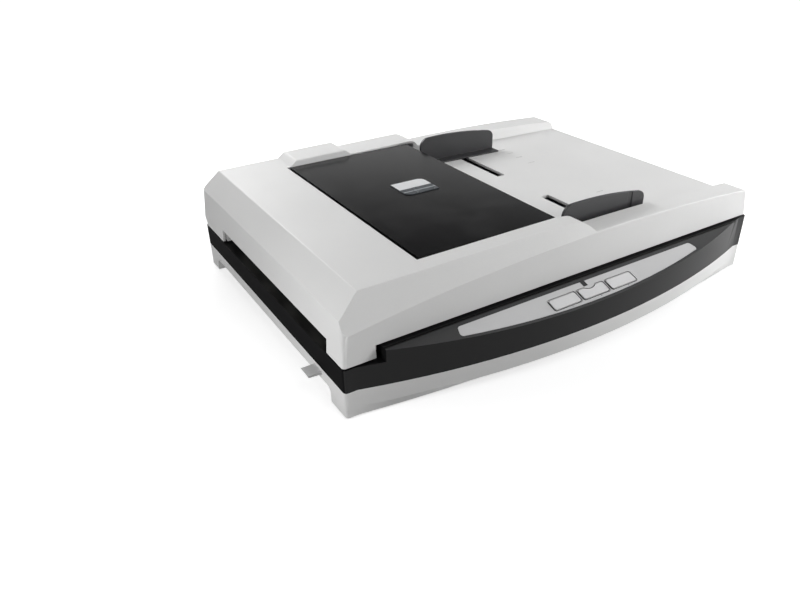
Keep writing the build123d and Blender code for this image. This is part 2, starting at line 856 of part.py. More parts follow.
def pulley(x, top):
    """A belt pulley between two flanges, on a pin at x."""
    flange_bottom = belt_bottom - touch_gap - pulley_flange_thickness
    flange_top = belt_bottom + belt_width + touch_gap
    flange_radius = pulley_radius + pulley_flange
    upright(x, belt_y, flange_bottom, top, pulley_radius - touch_gap)
    upright(x, belt_y, flange_bottom, flange_bottom + pulley_flange_thickness, flange_radius)
    upright(x, belt_y, flange_top, flange_top + pulley_flange_thickness, flange_radius)


with BuildPart() as drive_pulley:
    pulley(drive_x, drive_gear_top)
    with BuildSketch(Plane.XY.offset(drive_gear_bottom)):
        gear_outline((drive_x, belt_y), drive_teeth, drive_module, 0)
    extrude(amount=drive_gear_width)
    upright(drive_x, belt_y, 0, feeder_top, pin_radius + bore_gap, Mode.SUBTRACT)
save(drive_pulley, "drive_pulley")

with BuildPart() as idler_pulley:
    pulley(idler_x, belt_bottom + belt_width + touch_gap + pulley_flange_thickness)
    upright(idler_x, belt_y, 0, feeder_top, pin_radius + bore_gap, Mode.SUBTRACT)
save(idler_pulley, "idler_pulley")

with BuildPart() as drive_belt:
    with BuildSketch(Plane.XY.offset(belt_bottom)):
        with Locations(((drive_x + idler_x) / 2, belt_y)):
            SlotCenterToCenter(drive_x - idler_x, 2 * (pulley_radius + belt_thickness))
            SlotCenterToCenter(drive_x - idler_x, 2 * pulley_radius, mode=Mode.SUBTRACT)
    extrude(amount=belt_width)
save(drive_belt, "drive_belt")

with BuildPart() as belt_brackets:
    flange_bottom = belt_bottom - touch_gap - pulley_flange_thickness
    for pin_x, pin_top in ((drive_x, drive_gear_top + 1), (idler_x, belt_bottom + belt_width + 2)):
        block((pin_x - pulley_radius, belt_y - pulley_radius - 4, tray_floor),
              (pin_x + pulley_radius, belt_y + pulley_radius + 4, bracket_top))
        upright(pin_x, belt_y, tray_floor, pin_top, pin_radius)
        upright(pin_x, belt_y, tray_floor, flange_bottom - seat_gap, 2 * pin_radius)
save(belt_brackets, "belt_brackets")

with BuildPart() as scan_motor:
    upright(motor_x, belt_y, tray_floor, tray_floor + scan_motor_height, scan_motor_radius)
    upright(motor_x, belt_y, tray_floor, drive_gear_top + 1, motor_shaft_radius)
save(scan_motor, "scan_motor")

with BuildPart() as motor_pinion:
    with BuildSketch(Plane.XY.offset(drive_gear_bottom)):
        gear_outline((motor_x, belt_y), pinion_teeth, drive_module, drive_mesh_phase)
    extrude(amount=drive_gear_width)
    upright(motor_x, belt_y, 0, feeder_top, motor_shaft_radius + bore_gap, Mode.SUBTRACT)
save(motor_pinion, "motor_pinion")

# Main board with its rear sockets, and the power switch
with BuildPart() as main_board:
    block((board_left, board_front, board_height), (board_right, board_rear, socket_floor))
    with BuildSketch(Plane.XY.offset(board_height)):
        with Locations(*board_posts):
            Circle(screw_radius)
    extrude(amount=board_thickness, mode=Mode.SUBTRACT)
    # Processor, transformer and a row of capacitors
    block((board_left + 20, board_front + 30, socket_floor),
          (board_left + 20 + chip_size, board_front + 30 + chip_size, socket_floor + chip_height))
    block((board_left + 46, board_front + 22, socket_floor),
          (board_left + 46 + coil_size, board_front + 22 + coil_size, socket_floor + coil_height))
    for step in range(4):
        upright(board_left + 14 + capacitor_pitch * step, board_front + 13, socket_floor,
                socket_floor + capacitor_height, capacitor_radius)
save(main_board, "main_board")

with BuildPart() as usb_socket:
    block((usb_x - usb_width / 2, rear - usb_depth, socket_floor),
          (usb_x + usb_width / 2, rear, socket_floor + usb_height))
    block((usb_x - usb_width / 2 + 1, rear - usb_depth + 3, socket_floor + 1),
          (usb_x + usb_width / 2 - 1, rear + 1, socket_floor + usb_height - 1), Mode.SUBTRACT)
    block((usb_x - 2.8, rear - usb_depth + 2, socket_floor + 4), (usb_x + 2.8, rear - 1, socket_floor + 7))
save(usb_socket, "usb_socket")

jack_z = socket_floor + jack_height / 2
with BuildPart() as power_jack:
    block((jack_x - jack_width / 2, rear - jack_depth, socket_floor),
          (jack_x + jack_width / 2, rear, socket_floor + jack_height))
    crosswise(jack_x, jack_z, rear - jack_depth + 3, rear + 1, jack_bore, Mode.SUBTRACT)
    crosswise(jack_x, jack_z, rear - jack_depth + 2, rear - 1, jack_bore / 3)
save(power_jack, "power_jack")

rocker_pivot = (rear - rocker_depth, (switch_bottom + switch_top_edge) / 2)
with BuildPart() as power_switch:
    switch_half = rocker_width / 2 + switch_frame - bore_gap
    block((switch_x - switch_half, rear - switch_body_depth, switch_bottom + bore_gap),
          (switch_x + switch_half, rear, switch_top_edge - bore_gap))
    block((switch_x - rocker_width / 2, rear - 2 * rocker_depth, switch_bottom + switch_frame),
          (switch_x + rocker_width / 2, rear + 1, switch_top_edge - switch_frame), Mode.SUBTRACT)
    lengthwise(*rocker_pivot, switch_x - (rocker_width + switch_frame) / 2,
               switch_x + (rocker_width + switch_frame) / 2, rocker_pin_radius + bore_gap, Mode.SUBTRACT)
save(power_switch, "power_switch")

rocker_half = rocker_height / 2 - switch_frame - slide_gap
rocker_start = switch_x - rocker_width / 2 + slide_gap
with BuildPart() as power_rocker:
    rocker_sides = [(0, -rocker_half), (rocker_face, -rocker_half + rocker_taper),
                    (rocker_face - rocker_dish, 0), (rocker_face, rocker_half - rocker_taper),
                    (0, rocker_half)]
    rest_cos = math.cos(math.radians(rocker_tilt))
    rest_sin = math.sin(math.radians(rocker_tilt))
    with BuildSketch(Plane.YZ.offset(rocker_start)):
        outline(*[(rocker_pivot[0] + out * rest_cos - up * rest_sin,
                   rocker_pivot[1] + out * rest_sin + up * rest_cos) for out, up in rocker_sides])
    extrude(amount=rocker_width - 2 * slide_gap)
    lengthwise(*rocker_pivot, rocker_start - switch_frame / 2, rocker_start + rocker_width + switch_frame / 2
               - 2 * slide_gap, rocker_pin_radius)
save(power_rocker, "power_rocker")

# Feet, screws, the exit tab and the sockets for the hinge legs
with BuildPart() as feet:
    for x, y in foot_places:
        upright(x, y, 0, foot_height + foot_pocket - bore_gap, foot_radius - bore_gap)
save(feet, "feet")

with BuildPart() as base_screws:
    for x, y in post_places:
        head_top = foot_height + screw_head_height
        upright(x, y, foot_height + seat_gap, head_top, screw_head_radius)
        upright(x, y, foot_height + seat_gap, band_bottom + screw_grip, screw_radius - bore_gap)
    for x, y in board_posts:
        upright(x, y, socket_floor, socket_floor + screw_head_height, screw_head_radius)
        upright(x, y, board_height, socket_floor + 1, screw_radius - bore_gap)
save(base_screws, "base_screws")

with BuildPart() as exit_tab:
    with BuildSketch(section_plane(exit_tab_y + exit_tab_width)):
        outline((left - exit_tab_reach, exit_tab_top), (left + exit_tab_root, exit_tab_top),
                (left + exit_tab_root, exit_tab_top - exit_tab_thickness),
                (left - exit_tab_reach + 1, exit_tab_top - exit_tab_thickness * 0.6))
    extrude(amount=exit_tab_width)
    corners = exit_tab.edges().filter_by(Axis.Z).group_by(Axis.X)[0]
    fillet(corners, exit_tab_thickness / 2)
save(exit_tab, "exit_tab")

socket_bottom = leg_bottom - seat_gap - socket_wall
with BuildPart() as hinge_sockets:
    for hinge_x in hinge_places:
        block((hinge_x - leg_gap_x + bore_gap, hinge_y - leg_gap_y + bore_gap, socket_bottom),
              (hinge_x + leg_gap_x - bore_gap, hinge_y + leg_gap_y - bore_gap, ledge_top))
        well_x = leg_width / 2 + slide_gap
        well_y = leg_depth / 2 + slide_gap
        block((hinge_x - well_x, hinge_y - well_y, leg_bottom - seat_gap),
              (hinge_x + well_x, hinge_y + well_y, feeder_top), Mode.SUBTRACT)
save(hinge_sockets, "hinge_sockets")

# Lid casing: the feeder housing at the left and the sheet tray at the right
lid_top = feeder_top
skirt = lid_top - side_lip
inward = skirt * math.tan(math.radians(lid_draft))
well_front = front + shoulder + rim_width
well_rear = rear - rear_rim_inset


slot_length = guide_travel + guide_foot_length + 2 * guide_slot_margin
guide_slots = [(front_guide_y, front_guide_y + slot_length), (rear_guide_y - slot_length, rear_guide_y)]
pinion_top = rack_bottom + rack_height + touch_gap
boss_bottom = pinion_top + touch_gap
boss_top = boss_bottom + pinion_boss_height
cover_pin_x = cover_left + cover_pin_inset
cover_pin_z = lid_top - cover_pin_drop


def crease_height(x):
    """The height of the curved crease along the lid's front at x."""
    return crease_peak - (crease_radius - math.sqrt(crease_radius ** 2 - (x - crease_peak_x) ** 2))


def rim_height(x):
    """The height of the tray's rims at x."""
    return crease_height(x) + rim_rise


def tray_height(x):
    """The height of the tray's floor at x."""
    return tray_floor_start - tray_floor_slope * (x - feeder_end)


def lid_form(inset):
    """The lid's solid form above its lip, inset all round; the inner form is open below."""
    bottom = side_lip - (spare if inset else 0)
    draft = math.tan(math.radians(lid_draft))
    with BuildPart() as form:
        for height in (bottom, lid_top - inset):
            lean = (height - side_lip) * draft
            with BuildSketch(Plane.XY.offset(height)):
                with Locations((middle, (front + rear) / 2)):
                    corner_radius = max(front_corner_radius + lean / 2 - inset, smallest_radius)
                    RectangleRounded(casing_width - 2 * (lean + inset), casing_depth - 2 * (lean + inset),
                                     corner_radius)
        loft(ruled=True)
        # A hump behind the cover houses the gears
        with BuildSketch(section_plane(hump_front + hump_depth - inset)):
            hump_top = lid_top + hump_height - inset
            outline((hump_start + inset, lid_top - 2 * wall), (hump_start + inset, lid_top - inset),
                    (hump_start + hump_lean + inset / 2, hump_top),
                    (hump_start + hump_length - hump_lean - inset / 2, hump_top),
                    (hump_start + hump_length - inset, lid_top - inset),
                    (hump_start + hump_length - inset, lid_top - 2 * wall))
        extrude(amount=hump_depth - 2 * inset)
        # The left end is chamfered
        drop = inset * math.hypot(chamfer_height, chamfer_reach) / chamfer_reach
        low = lid_top - chamfer_height - drop
        edge_x = left + inward
        rise = chamfer_height / chamfer_reach
        with BuildSketch(section_plane(rear + spare)):
            outline((edge_x - spare, low - spare * rise), (edge_x + 2 * spare, low + 2 * spare * rise),
                    (edge_x - spare, low + 2 * spare * rise))
        extrude(amount=casing_depth + 2 * spare, mode=Mode.SUBTRACT)
        # The front slopes back from its curved crease
        for station in (left - spare, left + casing_width / 3, left + 2 * casing_width / 3, right + spare):
            crease = crease_height(station) - inset * 0.7
            slope_y = front + crease_setback + inset
            top_y = front + slope_top_setback + inset * 0.3
            tilt = (lid_top - crease) / (top_y - slope_y)
            with BuildSketch(Plane.YZ.offset(station)):
                outline((slope_y - spare, crease - spare * tilt), (top_y + spare, lid_top + spare * tilt),
                        (slope_y - spare, lid_top + spare * tilt))
        loft(mode=Mode.SUBTRACT)
        # The end of the feeder drops in an arc to the tray's rims
        run_x = feeder_end + feeder_end_run
        end_x = right - inward / 2 - inset
        end_z = rim_height(end_x) - inset
        half_x = (run_x + end_x) / 2
        with BuildSketch(section_plane(rear + spare)):
            with BuildLine() as border:
                Line((feeder_end - inset / 2, lid_top + spare), (feeder_end - inset / 2, lid_top - inset))
                TangentArc((feeder_end - inset / 2, lid_top - inset), (run_x, rim_height(run_x) - inset),
                           tangent=(1, -feeder_end_dip))
                ThreePointArc((run_x, rim_height(run_x) - inset), (half_x, rim_height(half_x) - inset),
                              (end_x - end_radius, rim_height(end_x - end_radius) - inset))
                TangentArc((end_x - end_radius, rim_height(end_x - end_radius) - inset),
                           (end_x, end_z - end_radius), tangent=(1, 0))
                Polyline((end_x, end_z - end_radius), (right + spare, end_z - end_radius),
                         (right + spare, lid_top + spare), (feeder_end - inset / 2, lid_top + spare))
            make_face(border.edges())
        extrude(amount=casing_depth + 2 * spare, mode=Mode.SUBTRACT)
        # The tray's well
        for station in (feeder_end + feeder_end_run / 2 - inset, right + spare):
            floor = tray_height(station) - inset
            with BuildSketch(Plane.YZ.offset(station)):
                outline((well_front + well_lean - inset, floor), (well_rear - well_lean + inset, floor),
                        (well_rear + 2 * well_lean + inset, floor + 3 * rim_drop),
                        (well_front - 2 * well_lean - inset, floor + 3 * rim_drop))
        loft(ruled=True, mode=Mode.SUBTRACT)
        # The lower rear edge is bevelled, so that it clears the base as the lid opens
        along = (bevel_depth, front_lip - side_lip)
        length = math.hypot(*along)
        start = (rear - bevel_depth - along[1] / length * inset - 3 * along[0],
                 side_lip + along[0] / length * inset - 3 * along[1])
        end = (start[0] + 8 * along[0], start[1] + 8 * along[1])
        with BuildSketch(Plane.YZ.offset(left - spare)):
            outline(start, end, (end[0], start[1]))
        extrude(amount=casing_width + 2 * spare, mode=Mode.SUBTRACT)
    return form.part


outer_lid = lid_form(0)
inner_lid = lid_form(wall)
cover_right = cover_left + cover_length
cover_rear = cover_front + cover_depth
throat_end = cover_right + throat_length
lip_gap = ridge_width + pan_gap / 2
screw_y_front = front + gusset_reach - gusset_width / 2
screw_y_rear = rear - gusset_rear_reach + gusset_width / 2
shared_gusset_xs = [feeder_end - gusset_lead, right - gusset_spread - gusset_inset, right - gusset_inset]
gusset_xs_front = [feeder_end - gusset_lead - front_gusset_step] + shared_gusset_xs
gusset_xs_rear = [left + rear_gusset_inset] + shared_gusset_xs
pan_top = side_lip + pan_thickness

with BuildPart() as lid_casing:
    add(outer_lid)
    add(inner_lid, mode=Mode.SUBTRACT)
    # The lip stands higher along the front and the right, over the frame's ridge
    block((left + block_width, front - 1, side_lip - 1), (right + 1, front + lip_gap, front_lip),
          Mode.SUBTRACT)
    block((right - lip_gap, front - 1, side_lip - 1),
          (right + 1, rear - rail_rear_gap + lid_gap, front_lip), Mode.SUBTRACT)
    block((left + block_width - wall, front + wall / 2, side_lip),
          (left + block_width, front + lip_gap, front_lip + wall))
    # Opening under the cover, running into the sheet throat
    block((cover_left - cover_gap, cover_front - cover_gap, pan_rim_top),
          (throat_end, cover_rear + cover_gap, lid_top + spare), Mode.SUBTRACT)
    block((cover_right, well_front + well_lean - touch_gap, tray_floor_start),
          (throat_end, cover_front, lid_top + spare), Mode.SUBTRACT)
    # Sheet exit and hinge notches
    block((left - 1, feed_centre - exit_slot_length / 2, side_lip - 1),
          (left + 3 * wall, feed_centre + exit_slot_length / 2, side_lip + exit_slot_height), Mode.SUBTRACT)
    for hinge_x in hinge_places:
        block((hinge_x - leaf_width / 2 - 1, rear - 2.5 * hinge_setback, side_lip - 1),
              (hinge_x + leaf_width / 2 + 1, rear + 1, hinge_height + hinge_setback), Mode.SUBTRACT)
    # Gussets carry the lid's underside
    for x in gusset_xs_front:
        with BuildSketch(Plane.YZ.offset(x - gusset_width / 2)):
            outline((front + wall, pan_rim_top + 6), (front + gusset_reach, pan_rim_top + 6),
                    (front + gusset_reach, pan_top), (front + gusset_reach - gusset_width, pan_top),
                    (front + gusset_reach - gusset_width, pan_rim_top + touch_gap),
                    (front + wall, pan_rim_top + touch_gap))
        extrude(amount=gusset_width)
    for x in gusset_xs_rear:
        with BuildSketch(Plane.YZ.offset(x - gusset_width / 2)):
            gusset_back = rear - gusset_rear_reach + gusset_width
            outline((rear - wall, pan_rim_top + 8), (rear - gusset_rear_reach, pan_rim_top + 8),
                    (rear - gusset_rear_reach, pan_top), (gusset_back, pan_top),
                    (gusset_back, pan_rim_top + 2), (rear - wall, pan_rim_top + 2))
        extrude(amount=gusset_width)
    for y, xs in ((screw_y_front, gusset_xs_front), (screw_y_rear, gusset_xs_rear)):
        for x in xs:
            upright(x, y, side_lip, pan_top + screw_grip + 0.5, screw_radius, Mode.SUBTRACT)
    # Slots and a bore in the tray's floor for the guides and their pinion
    for start_y, end_y in guide_slots:
        slot_half = guide_foot_length / 2 + guide_slot_margin
        block((guide_pinion_x - slot_half, start_y, rack_bottom),
              (guide_pinion_x + slot_half, end_y, lid_top), Mode.SUBTRACT)
    upright(guide_pinion_x, feed_centre, boss_bottom, boss_top, pinion_boss_radius)
    upright(guide_pinion_x, feed_centre, boss_bottom - 1, boss_top - 1, shaft_radius + bore_gap,
            Mode.SUBTRACT)
    # Lugs that hold the cover's pins
    for lug_y, side in ((cover_front - cover_gap, -1), (cover_rear + cover_gap, 1)):
        near, far = sorted((lug_y, lug_y + side * cover_lug))
        block((cover_pin_x - cover_lug, near, lid_top - 2 * cover_lug),
              (cover_pin_x + cover_lug, far, lid_top - 1))
    crosswise(cover_pin_x, cover_pin_z, cover_front - cover_gap - cover_lug - 1,
              cover_rear + cover_gap + cover_lug + 1, cover_pin_radius + bore_gap, Mode.SUBTRACT)
save(lid_casing, "lid_casing")

# Lid underside: a pan screwed to the casing, with the pad that presses sheets flat
pan_left = left + wall + pan_gap
pan_right = right - lip_gap - pan_gap / 2
pan_front = front + lip_gap + pan_gap / 2
pan_rear = rear - 2 * hinge_setback
lid_screw_places = ([(x, screw_y_front) for x in gusset_xs_front]
                    + [(x, screw_y_rear) for x in gusset_xs_rear])

with BuildPart() as lid_underside:
    block((pan_left, pan_front, side_lip), (pan_right, pan_rear, pan_rim_top))
    block((pan_left + pan_rim, pan_front + pan_rim, pan_top),
          (pan_right - pan_rim, pan_rear - pan_rim, pan_rim_top + 1), Mode.SUBTRACT)
    # The sheet passes down to the glass strip and back up through an opening
    block((pan_left - 1, feed_centre - bed_half_depth, side_lip - 1),
          (platen_start, feed_centre + bed_half_depth, pan_rim_top + 1), Mode.SUBTRACT)
    for hinge_x in hinge_places:
        block((hinge_x - leaf_width / 2 - 1, pan_rear - pan_rim - 1, pan_top),
              (hinge_x + leaf_width / 2 + 1, pan_rear + 1, pan_rim_top + 1), Mode.SUBTRACT)
    for x, y in lid_screw_places:
        upright(x, y, side_lip - 1, pan_top + 1, screw_radius, Mode.SUBTRACT)
save(lid_underside, "lid_underside")

with BuildPart() as platen_pad:
    block((platen_start + 1, feed_centre - glass_depth / 2 + 1, side_lip - pad_foam),
          (platen_start + platen_length - 1, feed_centre + glass_depth / 2 - 1, side_lip))
save(platen_pad, "platen_pad")

with BuildPart() as lid_screws:
    for x, y in lid_screw_places:
        upright(x, y, side_lip - lid_screw_head, side_lip, screw_head_radius)
        upright(x, y, side_lip - lid_screw_head, pan_top + screw_grip, screw_radius - bore_gap)
save(lid_screws, "lid_screws")

# Hinges: a leaf with two knuckles and a pin on the lid, turning on a leg that lifts in its socket
with BuildPart() as hinge_leaves:
    for hinge_x in hinge_places:
        block((hinge_x - leaf_width / 2, hinge_y - leaf_length, pan_top),
              (hinge_x + leaf_width / 2, hinge_y - leaf_thickness, pan_top + leaf_thickness))
        leaf_end = hinge_x + leaf_width / 2
        lengthwise(hinge_y, hinge_height, hinge_x - leaf_width / 2, leaf_end, knuckle_radius)
        block((hinge_x - knuckle_width / 2 - slide_gap, hinge_y - knuckle_radius - slide_gap, pan_top - 1),
              (hinge_x + knuckle_width / 2 + slide_gap, rear, hinge_height + knuckle_radius + 1),
              Mode.SUBTRACT)
        lengthwise(hinge_y, hinge_height, hinge_x - leaf_width / 2, leaf_end, hinge_pin_radius)
save(hinge_leaves, "hinge_leaves")

with BuildPart() as hinge_legs:
    for hinge_x in hinge_places:
        block((hinge_x - leg_width / 2, hinge_y - leg_depth / 2, leg_bottom),
              (hinge_x + leg_width / 2, hinge_y + leg_depth / 2, leg_shoulder))
        block((hinge_x - knuckle_width / 2, hinge_y - leg_depth / 2, leg_shoulder - 1),
              (hinge_x + knuckle_width / 2, hinge_y + leg_depth / 2, hinge_height))
        lengthwise(hinge_y, hinge_height, hinge_x - knuckle_width / 2, hinge_x + knuckle_width / 2,
                   knuckle_radius)
        lengthwise(hinge_y, hinge_height, hinge_x - knuckle_width, hinge_x + knuckle_width,
                   hinge_pin_radius + bore_gap, Mode.SUBTRACT)
save(hinge_legs, "hinge_legs")

# Feeder cover with its rims, ribs and pins, and the blank badge on it
rim_bottom = lid_top - cover_thickness - cover_rib
rim_top = lid_top - cover_thickness + 0.5


def cover_top(x):
    """The height of the cover's top, which falls a little to the right."""
    return lid_top - cover_fall * (x - cover_left) / cover_length


with BuildPart() as feeder_cover:
    edge_x = cover_right - cover_bevel
    with BuildSketch(section_plane(cover_rear)):
        outline((cover_left, lid_top), (edge_x, cover_top(edge_x)),
                (cover_right, cover_top(edge_x) - cover_bevel),
                (cover_right, cover_top(edge_x) - cover_bevel - cover_rim),
                (cover_right - cover_rim, cover_top(edge_x) - cover_bevel - cover_rim),
                (edge_x - cover_rim, cover_top(edge_x) - cover_thickness),
                (cover_left, lid_top - cover_thickness))
    extrude(amount=cover_depth)
    for rim_start in (cover_front, cover_rear - cover_rim):
        block((cover_left + cover_rim, rim_start, rim_bottom),
              (cover_right - cover_rim_end, rim_start + cover_rim, rim_top))
    for rib_y in (feed_centre - cover_rib_spread, feed_centre + cover_rib_spread):
        block((cover_left + cover_rim, rib_y, rim_bottom + 1),
              (cover_right - cover_rim_end, rib_y + cover_rim, rim_top))
    pin_reach = cover_gap + cover_pin_reach
    crosswise(cover_pin_x, cover_pin_z, cover_front - pin_reach, cover_front + cover_rim, cover_pin_radius)
    crosswise(cover_pin_x, cover_pin_z, cover_rear - cover_rim, cover_rear + pin_reach, cover_pin_radius)
save(feeder_cover, "feeder_cover")

cover_tilt = math.atan2(cover_fall, cover_length)
badge_seat = Plane(origin=(badge_x, badge_y, cover_top(badge_x)),
                   x_dir=(math.cos(cover_tilt), 0, -math.sin(cover_tilt)),
                   z_dir=(math.sin(cover_tilt), 0, math.cos(cover_tilt)))
with BuildPart() as badge_plate:
    with BuildSketch(badge_seat):
        Rectangle(badge_width, badge_depth)
        diagonal = vertices().sort_by(Axis((0, 0, 0), (1, 1, 0)))
        fillet([diagonal[0], diagonal[-1]], badge_corner)
    extrude(amount=badge_thickness)
save(badge_plate, "badge_plate")

# Sheet path: a sloped bed between two side plates that carry the shafts
transport_rise = math.sqrt((feed_module * (feed_teeth + feed_idler_teeth)) ** 2 - transport_run ** 2)
transport_x = feed_x - transport_run
transport_z = feed_z - transport_rise
bed_slope = transport_rise / transport_run
bed_angle = math.atan(bed_slope)
bed_drop = (feed_roller_radius + sheet_gap) / math.cos(bed_angle)
bed_top = tray_height(throat_end)
bed_top_x = feed_x + (bed_top - feed_z + bed_drop) / bed_slope
bed_skin = bed_thickness / math.cos(bed_angle)
idler_centre = (feed_x - transport_run / 2, feed_z - transport_rise / 2)
side_inner = bed_half_depth + side_plate_gap
side_outer = side_inner + side_plate_thickness
gear_start = side_outer + gear_gap
gear_end = gear_start + gear_width
motor_plate_start = gear_end + 1.0
motor_distance = feed_module * (feed_teeth + feed_pinion_teeth) / 2
feed_motor_x = feed_x + motor_distance * math.cos(math.radians(feed_motor_angle))
feed_motor_z = feed_z + motor_distance * math.sin(math.radians(feed_motor_angle))
motor_posts = [(feed_motor_x + post[0], feed_motor_z + post[1]) for post in motor_post_offsets]
nip = (feed_x + (feed_roller_radius + sheet_gap) * math.sin(bed_angle),
       feed_z - (feed_roller_radius + sheet_gap) * math.cos(bed_angle))


def bed_height(x):
    """The height of the sloped bed's surface at x."""
    return feed_z - bed_drop + bed_slope * (x - feed_x)


def nip_outline(half_length, depth, height):
    """Draws a box on the bed under the feed rollers, from depth below its surface to height above."""
    along = (math.cos(bed_angle), math.sin(bed_angle))
    corners = ((-half_length, -depth), (half_length, -depth), (half_length, height), (-half_length, height))
    outline(*[(nip[0] + reach * along[0] - up * along[1], nip[1] + reach * along[1] + up * along[0])
              for reach, up in corners])


with BuildPart() as feed_bed:
    bed_end = throat_end - bed_end_gap
    with BuildSketch(section_plane(feed_centre + side_inner + bore_gap)):
        outline((bed_foot_x, bed_height(bed_foot_x)), (bed_top_x, bed_top), (bed_end, bed_top),
                (bed_end, bed_top - bed_thickness), (bed_top_x, bed_top - bed_skin),
                (bed_foot_x, bed_height(bed_foot_x) - bed_skin))
    extrude(amount=2 * (side_inner + bore_gap))
    for side in (-1, 1):
        corner_near, corner_far = sorted((side * (side_inner - bed_corner), side * (side_inner + 1)))
        block((side_plate_end, feed_centre + corner_near, pan_top),
              (throat_end, feed_centre + corner_far, lid_top), Mode.SUBTRACT)
    for plate_y in (feed_centre - side_inner, feed_centre + side_outer):
        with BuildSketch(section_plane(plate_y)):
            outline((side_plate_start, pan_top), (side_plate_start, exit_z + 2 * shaft_radius),
                    (exit_x + 3 * shaft_radius, exit_z + 2 * shaft_radius),
                    (transport_x - 4 * shaft_radius, transport_z + 3 * shaft_radius),
                    (transport_x + 4 * shaft_radius, transport_z + 3 * shaft_radius),
                    (feed_x - 4 * shaft_radius, feed_z + 3 * shaft_radius),
                    (feed_x + 4 * shaft_radius, feed_z + 3 * shaft_radius),
                    (feed_x + 8 * shaft_radius, bed_top), (side_plate_end, bed_top),
                    (side_plate_end, pan_top))
        extrude(amount=side_plate_thickness)
    for shaft_x, shaft_z in ((feed_x, feed_z), (transport_x, transport_z), (exit_x, exit_z)):
        crosswise(shaft_x, shaft_z, feed_centre - side_outer - 1, feed_centre + side_outer + 1,
                  shaft_radius + bore_gap, Mode.SUBTRACT)
    with BuildSketch(section_plane(feed_centre + pad_width / 2 + seat_gap)):
        nip_outline(pad_length / 2 + seat_gap, pad_thickness, sheet_gap)
    extrude(amount=pad_width + 2 * seat_gap, mode=Mode.SUBTRACT)
    # A pin for the idler gear and two posts for the motor
    crosswise(*idler_centre, feed_centre + side_inner, feed_centre + gear_end, pin_radius)
    for post_x, post_z in motor_posts:
        crosswise(post_x, post_z, feed_centre + side_inner, feed_centre + motor_plate_start,
                  motor_post_radius)
save(feed_bed, "feed_bed")

with BuildPart() as separation_pad:
    with BuildSketch(section_plane(feed_centre + pad_width / 2)):
        nip_outline(pad_length / 2, pad_thickness, 0)
    extrude(amount=pad_width)
save(separation_pad, "separation_pad")

with BuildPart() as window_plate:
    window_end = window_plate_start + window_plate_width
    window_bottom = ledge_top + window_plate_gap
    window_top = window_bottom + window_plate_height
    block((window_plate_start, feed_centre - bed_half_depth + seat_gap, window_bottom),
          (window_end, feed_centre + bed_half_depth - seat_gap, window_top))
    block((window_plate_start, feed_centre - side_inner, pan_top),
          (window_end, feed_centre + side_inner, window_top))
save(window_plate, "window_plate")

# Feed shaft, transport shaft and exit shaft, with the gears and the belts that join them
idler_direction = math.pi + bed_angle
idler_phase = meshing_phase(0, feed_teeth, feed_idler_teeth, idler_direction)
transport_phase = meshing_phase(idler_phase, feed_idler_teeth, feed_teeth, idler_direction)
pinion_phase = meshing_phase(0, feed_teeth, feed_pinion_teeth, math.radians(feed_motor_angle))
pick_z = bed_top + sheet_gap + pick_radius
arm_outer = arm_offset + arm_thickness / 2
pick_belt_start = arm_outer + 1.0 + pulley_flange_thickness
feeder_belt_end = -(side_outer + feeder_belt_gap)


def feed_gear(centre, teeth, phase):
    """A gear of the feeder's train, in the plane that all of them share."""
    with BuildPart() as gear:
        with BuildSketch(section_plane(feed_centre + gear_end)):
            gear_outline(centre, teeth, feed_module, phase)
        extrude(amount=gear_width)
    return gear.part


def belt_pulley(x, z, start, width, radius):
    """A flanged pulley along Y whose belt runs from start over width."""
    near = feed_centre + start - touch_gap
    far = feed_centre + start + width + touch_gap
    crosswise(x, z, near - 0.1, far + 0.1, radius - touch_gap)
    crosswise(x, z, near - pulley_flange_thickness, near, radius + pulley_flange_thickness)
    crosswise(x, z, far, far + pulley_flange_thickness, radius + pulley_flange_thickness)


def belt_loop(first, second, start, width, radius, thickness):
    """A belt round two equal pulleys."""
    span = math.hypot(second[0] - first[0], second[1] - first[1])
    turn = math.degrees(math.atan2(second[1] - first[1], second[0] - first[0]))
    with BuildPart() as loop:
        with BuildSketch(section_plane(feed_centre + start + width)):
            with Locations(((first[0] + second[0]) / 2, (first[1] + second[1]) / 2)):
                SlotCenterToCenter(span, 2 * (radius + thickness), rotation=turn)
                SlotCenterToCenter(span, 2 * radius, rotation=turn, mode=Mode.SUBTRACT)
        extrude(amount=width)
    return loop.part


with BuildPart() as feed_shaft:
    add(feed_gear((feed_x, feed_z), feed_teeth, 0))
    crosswise(feed_x, feed_z, feed_centre - side_outer - 2, feed_centre + gear_end, shaft_radius)
    belt_pulley(feed_x, feed_z, pick_belt_start, pick_belt_width, pick_pulley_radius)
save(feed_shaft, "feed_shaft")

with BuildPart() as feed_rollers:
    for side in (-1, 1):
        roller_middle = feed_centre + side * feed_roller_offset
        crosswise(feed_x, feed_z, roller_middle - feed_roller_length / 2,
                  roller_middle + feed_roller_length / 2, feed_roller_radius)
    crosswise(feed_x, feed_z, front, rear, shaft_radius + bore_gap / 2, Mode.SUBTRACT)
save(feed_rollers, "feed_rollers")

with BuildPart() as transport_shaft:
    add(feed_gear((transport_x, transport_z), feed_teeth, transport_phase))
    crosswise(transport_x, transport_z, feed_centre + feeder_belt_end - feeder_belt_width,
              feed_centre + gear_end, shaft_radius)
    belt_pulley(transport_x, transport_z, feeder_belt_end - feeder_belt_width, feeder_belt_width,
                pulley_radius)
save(transport_shaft, "transport_shaft")

with BuildPart() as transport_rollers_node:
    for step in range(transport_rollers):
        roller_middle = feed_centre + (step - (transport_rollers - 1) / 2) * transport_roller_pitch
        crosswise(transport_x, transport_z, roller_middle - transport_roller_length / 2,
                  roller_middle + transport_roller_length / 2, feed_roller_radius)
    crosswise(transport_x, transport_z, front, rear, shaft_radius + bore_gap / 2, Mode.SUBTRACT)
save(transport_rollers_node, "transport_rollers")

